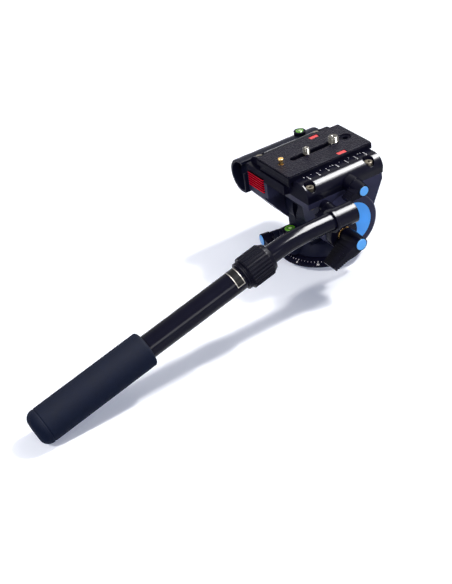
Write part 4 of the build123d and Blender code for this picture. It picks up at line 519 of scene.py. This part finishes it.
class Form:
    """Vertices and faces of one piece, gathered in millimetres."""

    def __init__(self):
        self.points = []
        self.faces = []

    def ring(self, points):
        """Adds points and gives their numbers."""
        first = len(self.points)
        self.points.extend(tuple(p) for p in points)
        return list(range(first, len(self.points)))

    def bridge(self, lower, upper, closed=True):
        """Faces between two rings, either of which may be a single point."""
        count = max(len(lower), len(upper))
        for i in range(count if closed else count - 1):
            j = (i + 1) % count
            if len(lower) == 1:
                self.faces.append((lower[0], upper[j], upper[i]))
            elif len(upper) == 1:
                self.faces.append((lower[i], lower[j], upper[0]))
            else:
                self.faces.append((lower[i], lower[j], upper[j], upper[i]))

    def skin(self, rings, closed=False):
        """Faces along a row of rings, back to the first where it is closed."""
        following = rings[1:] + rings[:1] if closed else rings[1:]
        for lower, upper in zip(rings, following):
            self.bridge(lower, upper)

    def circles(self, place, profile):
        """Rings about the local Z of a placement, from radius and height pairs."""
        rings = []
        for radius, height in profile:
            count = ROUND_STEPS if radius else 1
            turns = [2 * math.pi * i / count for i in range(count)]
            circle = [(radius * math.cos(a), radius * math.sin(a), height) for a in turns]
            rings.append(self.ring(place @ Vector(p) for p in circle))
        return rings

    def prism(self, place, outline, low, high):
        """Straight prism over an outline in the local XY plane."""
        bottom = self.ring(place @ Vector((x, y, low)) for x, y in outline)
        top = self.ring(place @ Vector((x, y, high)) for x, y in outline)
        self.bridge(bottom, top)
        self.faces.append(tuple(reversed(bottom)))
        self.faces.append(tuple(top))

    def bar(self, place, x_range, y_range, proud):
        """Thin printed bar that lies on the local XY plane."""
        (x0, x1), (y0, y1) = x_range, y_range
        self.prism(place, [(x0, y0), (x1, y0), (x1, y1), (x0, y1)], 0, proud)

    def thread(self, place, radius, pitch, low, high, chamfer=0.0, inward=False):
        """Rings of a screw thread, whose radius follows the helix."""
        depth = pitch * THREAD_DEPTH_SHARE
        rows = math.ceil((high - low) / pitch * THREAD_ROWS)
        rings = []
        for row in range(rows + 1):
            height = low + (high - low) * row / rows
            points = []
            for i in range(ROUND_STEPS):
                cut = depth * abs(2 * ((height / pitch - i / ROUND_STEPS) % 1) - 1)
                if inward:
                    reach = radius - depth + cut
                else:
                    reach = min(radius - cut, radius - chamfer + high - height)
                angle = 2 * math.pi * i / ROUND_STEPS
                points.append(place @ Vector((reach * math.cos(angle), reach * math.sin(angle), height)))
            rings.append(self.ring(points))
        return rings

    def lettering(self, place, words, height, proud):
        """Plain figures on the local XY plane, centred on its origin."""
        curve = bpy.data.curves.new("figures", "FONT")
        curve.body = words
        curve.size = height
        curve.extrude = proud
        curve.offset = FIGURE_WEIGHT * height
        curve.align_x = "CENTER"
        curve.align_y = "CENTER"
        curve.resolution_u = FIGURE_STEPS
        text = add_object("figures", curve)
        graph = bpy.context.evaluated_depsgraph_get()
        mesh = bpy.data.meshes.new_from_object(text.evaluated_get(graph))
        first = len(self.points)
        self.points.extend(tuple(place @ v.co) for v in mesh.vertices)
        self.faces.extend(tuple(first + i for i in face.vertices) for face in mesh.polygons)
        bpy.data.objects.remove(text)
        bpy.data.curves.remove(curve)
        bpy.data.meshes.remove(mesh)

    def piece(self, name, finish, body, sharp=SHARP_DEGREES):
        """Makes the mesh object, which rides on a body."""
        mesh = bpy.data.meshes.new(name)
        mesh.from_pydata([[c * MM for c in p] for p in self.points], [], self.faces)
        shell = bmesh.new()
        shell.from_mesh(mesh)
        bmesh.ops.recalc_face_normals(shell, faces=shell.faces)
        shell.to_mesh(mesh)
        shell.free()
        mesh.materials.append(finish)
        mesh.shade_smooth()
        mesh.set_sharp_from_angle(angle=math.radians(sharp))
        obj = add_object(name, mesh)
        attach(obj, body)
        return obj


def at(x, y, z):
    """Placement with the world's axes, in millimetres."""
    return Matrix.Translation((x, y, z))


def facing(origin, right, up):
    """Placement whose local X and Y run along two directions of a surface."""
    right = Vector(right).normalized()
    up = Vector(up).normalized()
    normal = right.cross(up)
    turn = Matrix((right, up, normal)).transposed().to_4x4()
    return Matrix.Translation(origin) @ turn


# Print stands this far above its surface, in millimetres
INK = 0.05

# Camera screws: name, place along Y, radii of thread and head, pitch, and body
CAMERA_SCREWS = (
    ("quarter_screw", -6.5, QUARTER_R, 6.3, QUARTER_PITCH, "small_screw"),
    ("three_eighths_screw", 22.6, THREE_EIGHTHS_R, 7.8, THREE_EIGHTHS_PITCH, "large_screw"),
)
SCREW_HEAD_Z = (93.0, 97.0)
SCREW_HEAD_STEPS = 20
SCREW_SLOT = (1.4, 1.6)
SCREW_NECK_R = 3.0
SCREW_EDGE = 0.4
THREAD_Z = (103.5, 109.0)
THREAD_CHAMFER = 0.9
DIMPLE_SHARE = 0.34
DIMPLE_DEPTH = 0.7

# Thread ridges inside the tripod hole
TRIPOD_BORE_R = THREE_EIGHTHS_R - 0.01
TRIPOD_THREAD_Z = (0.5, 10.2)

# Pan scale on the cone of the base ring: radius and height of the cone's ends, angles in degrees
SCALE_LOW = (40.0, 8.6)
SCALE_HIGH = (31.0, 12.0)
SCALE_START = -70.8
SCALE_STEP = 5
SCALE_FIGURE_STEP = 30
SCALE_TICK_R = (35.1, 36.3)
SCALE_LONG_TICK_R = (34.7, 36.7)
SCALE_TICK_W = 0.32
SCALE_FIGURE_R = 38.35
SCALE_FIGURE_H = 2.7

# Ruler on the right rail: a long line each centimetre, a short one between, and three wide marks
RULER_Z = 98.5
RULER_Y = 3.7
RULER_STEP = 10.0
RULER_REACH = 3
RULER_LINE_X = (26.9, 30.3)
RULER_HALF_X = (25.7, 26.7)
RULER_TALL_X = (25.5, 27.6)
RULER_TALL_YS = (-28.8, 1.2, 31.2)
RULER_LINE_W = 0.47
RULER_FIGURE_X = 31.9
RULER_FIGURE_H = 2.9

# Release spring: radius of its wire, its turns, the steps in each turn and the sides around the wire
SPRING_WIRE_R = 0.35
SPRING_TURNS = 2
SPRING_STEPS = 24
SPRING_SIDES = 10

# Bare label on the outer tube, from the tube's bend: lengths along it, degrees around it
TUBE_SLOPE = 14.7
TUBE_BEND = (72.0, -58.5, 78.2)
TUBE_BEND_R = 150.0
TUBE_R = 10.15
LABEL_ALONG = (33.8, 41.4)
LABEL_AROUND = (4, 156)
LABEL_FRAME_W = 0.75
LABEL_STEPS = 38

# Bubble levels: name, place and height of the vial's face, its radius, body and slot
LEVELS = (
    ("pan_level", (-3.0, -30.0, 35.7), 4.9, "pan_body", "pan_level_vial"),
    ("top_level", (-51.2, 21.5, 96.5), 3.7, "tilt_body", "top_level_vial"),
)
LEVEL_RING_SHARES = (0.46, 0.60)
BUBBLE_SHARE = 0.34
BUBBLE_DRIFT = (0.15, 0.1)
BUBBLE_LIFT = 0.12
BUBBLE_PROFILE = ((0, 0), (1, 0), (0.8, 0.6), (0.4, 1), (0, 1))
BUBBLE_SHARP_DEGREES = 80


def camera_screw(name, y, thread_r, head_r, pitch, body):
    """Camera screw with its coin slot, neck and real thread."""
    form = Form()
    place = at(0, y, 0)
    slot_w, slot_depth = SCREW_SLOT
    low, high = SCREW_HEAD_Z
    opening = math.asin(slot_w / 2 / head_r)
    sweep = math.pi - 2 * opening
    for side in (0, math.pi):
        turns = [side + opening + sweep * i / SCREW_HEAD_STEPS for i in range(SCREW_HEAD_STEPS + 1)]
        outline = [(head_r * math.cos(a), head_r * math.sin(a)) for a in turns]
        form.prism(place, outline, low, low + slot_depth)
    waist = low + slot_depth
    head = [(0, waist), (head_r, waist), (head_r, high - SCREW_EDGE), (head_r - SCREW_EDGE, high)]
    neck = [(SCREW_NECK_R, high), (SCREW_NECK_R, THREAD_Z[0])]
    top = THREAD_Z[1]
    dimple = thread_r * DIMPLE_SHARE
    crown = [(dimple, top), (dimple / 2, top - DIMPLE_DEPTH), (0, top - DIMPLE_DEPTH)]
    rings = form.circles(place, head + neck)
    rings += form.thread(place, thread_r, pitch, *THREAD_Z, chamfer=THREAD_CHAMFER)
    rings += form.circles(place, crown)
    form.skin(rings)
    screw = form.piece(name + "_thread", SCREW_STEEL, body)
    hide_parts(name)


def tripod_thread():
    """Thread ridges inside the tripod hole."""
    form = Form()
    low, high = TRIPOD_THREAD_Z
    rings = form.circles(at(0, 0, 0), [(TRIPOD_BORE_R, low)])
    rings += form.thread(at(0, 0, 0), TRIPOD_BORE_R - INK, THREE_EIGHTHS_PITCH, low, high, inward=True)
    rings += form.circles(at(0, 0, 0), [(TRIPOD_BORE_R, high)])
    form.skin(rings, closed=True)
    form.piece("tripod_thread_ridges", STEEL, "base")


def pan_scale():
    """Degree ticks and figures on the cone of the base ring."""
    form = Form()
    fall = (SCALE_HIGH[1] - SCALE_LOW[1]) / (SCALE_LOW[0] - SCALE_HIGH[0])
    stretch = math.hypot(1, fall)
    middle = SCALE_FIGURE_R
    middle_z = SCALE_LOW[1] + (SCALE_LOW[0] - middle) * fall
    half = SCALE_TICK_W / 2
    for n in range(0, 360, SCALE_STEP):
        angle = math.radians(SCALE_START + n)
        out = Vector((math.cos(angle), math.sin(angle), -fall))
        along = Vector((-math.sin(angle), math.cos(angle), 0))
        named = n % SCALE_FIGURE_STEP == 0
        low, high = SCALE_LONG_TICK_R if named else SCALE_TICK_R
        place = facing(Vector((middle * out.x, middle * out.y, middle_z)), along, -out)
        form.bar(place, (-half, half), ((middle - high) * stretch, (middle - low) * stretch), INK)
        if named:
            form.lettering(place, str(n), SCALE_FIGURE_H, INK)
    form.piece("pan_scale_print", WHITE_INK, "base")


def rail_ruler():
    """Centimetre ruler with plain figures on the right rail."""
    form = Form()
    half = RULER_LINE_W / 2
    ground = at(0, 0, RULER_Z)
    for n in range(-RULER_REACH, RULER_REACH + 1):
        y = RULER_Y + n * RULER_STEP
        form.bar(ground, RULER_LINE_X, (y - half, y + half), INK)
        figure = facing((RULER_FIGURE_X, y, RULER_Z), (0, 1, 0), (-1, 0, 0))
        form.lettering(figure, str(abs(n)), RULER_FIGURE_H, INK)
        if n < RULER_REACH:
            y += RULER_STEP / 2
            form.bar(ground, RULER_HALF_X, (y - half, y + half), INK)
    for y in RULER_TALL_YS:
        form.bar(ground, RULER_TALL_X, (y - half, y + half), INK)
    form.piece("rail_ruler_print", WHITE_INK, "tilt_body")


def squeezed_spring():
    """Coiled release spring that takes the place of the imported one."""
    low, high = (Vector(corner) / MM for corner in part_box("release_spring"))
    middle = (low + high) / 2
    coil_r = (high.x - low.x) / 2 - SPRING_WIRE_R
    start = low.y + SPRING_WIRE_R
    run = high.y - low.y - 2 * SPRING_WIRE_R
    form = Form()
    rings = [form.ring([Vector((middle.x + coil_r, start, middle.z))])]
    steps = SPRING_TURNS * SPRING_STEPS
    sides = [2 * math.pi * i / SPRING_SIDES for i in range(SPRING_SIDES)]
    for n in range(steps + 1):
        turn = 2 * math.pi * n / SPRING_STEPS
        out = Vector((math.cos(turn), 0, math.sin(turn)))
        seat = Vector((middle.x, start + run * n / steps, middle.z)) + coil_r * out
        wire = [SPRING_WIRE_R * (math.cos(a) * out + math.sin(a) * Vector((0, 1, 0))) for a in sides]
        rings.append(form.ring(seat + w for w in wire))
    rings.append(form.ring([seat]))
    form.skin(rings)
    coil = form.piece("release_spring_coil", STEEL, "tilt_body")
    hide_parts("release_spring")
    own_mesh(coil)


def tube_point(along, around, radius):
    """Point on the outer tube, by its distance past the bend and its angle."""
    slope = math.radians(TUBE_SLOPE)
    turn = math.radians(around)
    x, y, z = TUBE_BEND
    middle = Vector((x, y - TUBE_BEND_R * math.sin(slope), z - TUBE_BEND_R * (1 - math.cos(slope))))
    run = Vector((0, -math.cos(slope), -math.sin(slope)))
    rise = Vector((0, -math.sin(slope), math.cos(slope)))
    return middle + along * run + radius * (math.cos(turn) * Vector((1, 0, 0)) + math.sin(turn) * rise)


def tube_patch(form, along, around, proud):
    """Thin raised patch that follows the tube's round."""
    (s0, s1), (a0, a1) = along, around
    steps = max(2, round(LABEL_STEPS * (a1 - a0) / (LABEL_AROUND[1] - LABEL_AROUND[0])))
    turns = [a0 + (a1 - a0) * i / steps for i in range(steps + 1)]
    rows = []
    for s, lift in ((s0, 0), (s0, proud), (s1, proud), (s1, 0)):
        rows.append(form.ring(tube_point(s, turn, TUBE_R + lift) for turn in turns))
    for lower, upper in zip(rows, rows[1:] + rows[:1]):
        form.bridge(lower, upper, closed=False)
    for end in (0, -1):
        form.faces.append(tuple(row[end] for row in rows))


def tube_label():
    """Bare black label with a silver frame on the outer tube."""
    (s0, s1), (a0, a1) = LABEL_ALONG, LABEL_AROUND
    ground = Form()
    tube_patch(ground, LABEL_ALONG, LABEL_AROUND, INK)
    ground.piece("tube_label_ground", LABEL_BLACK, "bar_tube")
    outline = Form()
    wide = math.degrees(LABEL_FRAME_W / TUBE_R)
    tube_patch(outline, (s0, s0 + LABEL_FRAME_W), LABEL_AROUND, 2 * INK)
    tube_patch(outline, (s1 - LABEL_FRAME_W, s1), LABEL_AROUND, 2 * INK)
    tube_patch(outline, LABEL_ALONG, (a0, a0 + wide), 2 * INK)
    tube_patch(outline, LABEL_ALONG, (a1 - wide, a1), 2 * INK)
    outline.piece("tube_label_frame", SILVER_FOIL, "bar_tube")


def level_face(name, seat, radius, body, slot):
    """Sighting ring and bubble on a round level."""
    x, y, z = seat
    inner, outer = (share * radius for share in LEVEL_RING_SHARES)
    mark = Form()
    band = [(inner, 0), (inner, INK), (outer, INK), (outer, 0)]
    mark.skin(mark.circles(at(x, y, z), band), closed=True)
    mark.piece(name + "_ring", LEVEL_INK, body)
    bubble = Form()
    wide = radius * BUBBLE_SHARE
    lens = [(wide * across, BUBBLE_LIFT * up) for across, up in BUBBLE_PROFILE]
    drift_x, drift_y = BUBBLE_DRIFT
    bubble.skin(bubble.circles(at(x + wide * drift_x, y + wide * drift_y, z), lens))
    bubble.piece(name + "_bubble", BUBBLE, body, sharp=BUBBLE_SHARP_DEGREES)


place_camera()
light_world()
lay_floor()
hang_lamps()
for node, finish in NODE_FINISH.items():
    dress(node, finish)
for screw in CAMERA_SCREWS:
    camera_screw(*screw)
tripod_thread()
squeezed_spring()
pan_scale()
rail_ruler()
tube_label()
for level in LEVELS:
    level_face(*level)

bpy.context.scene.view_settings.view_transform = "Standard"
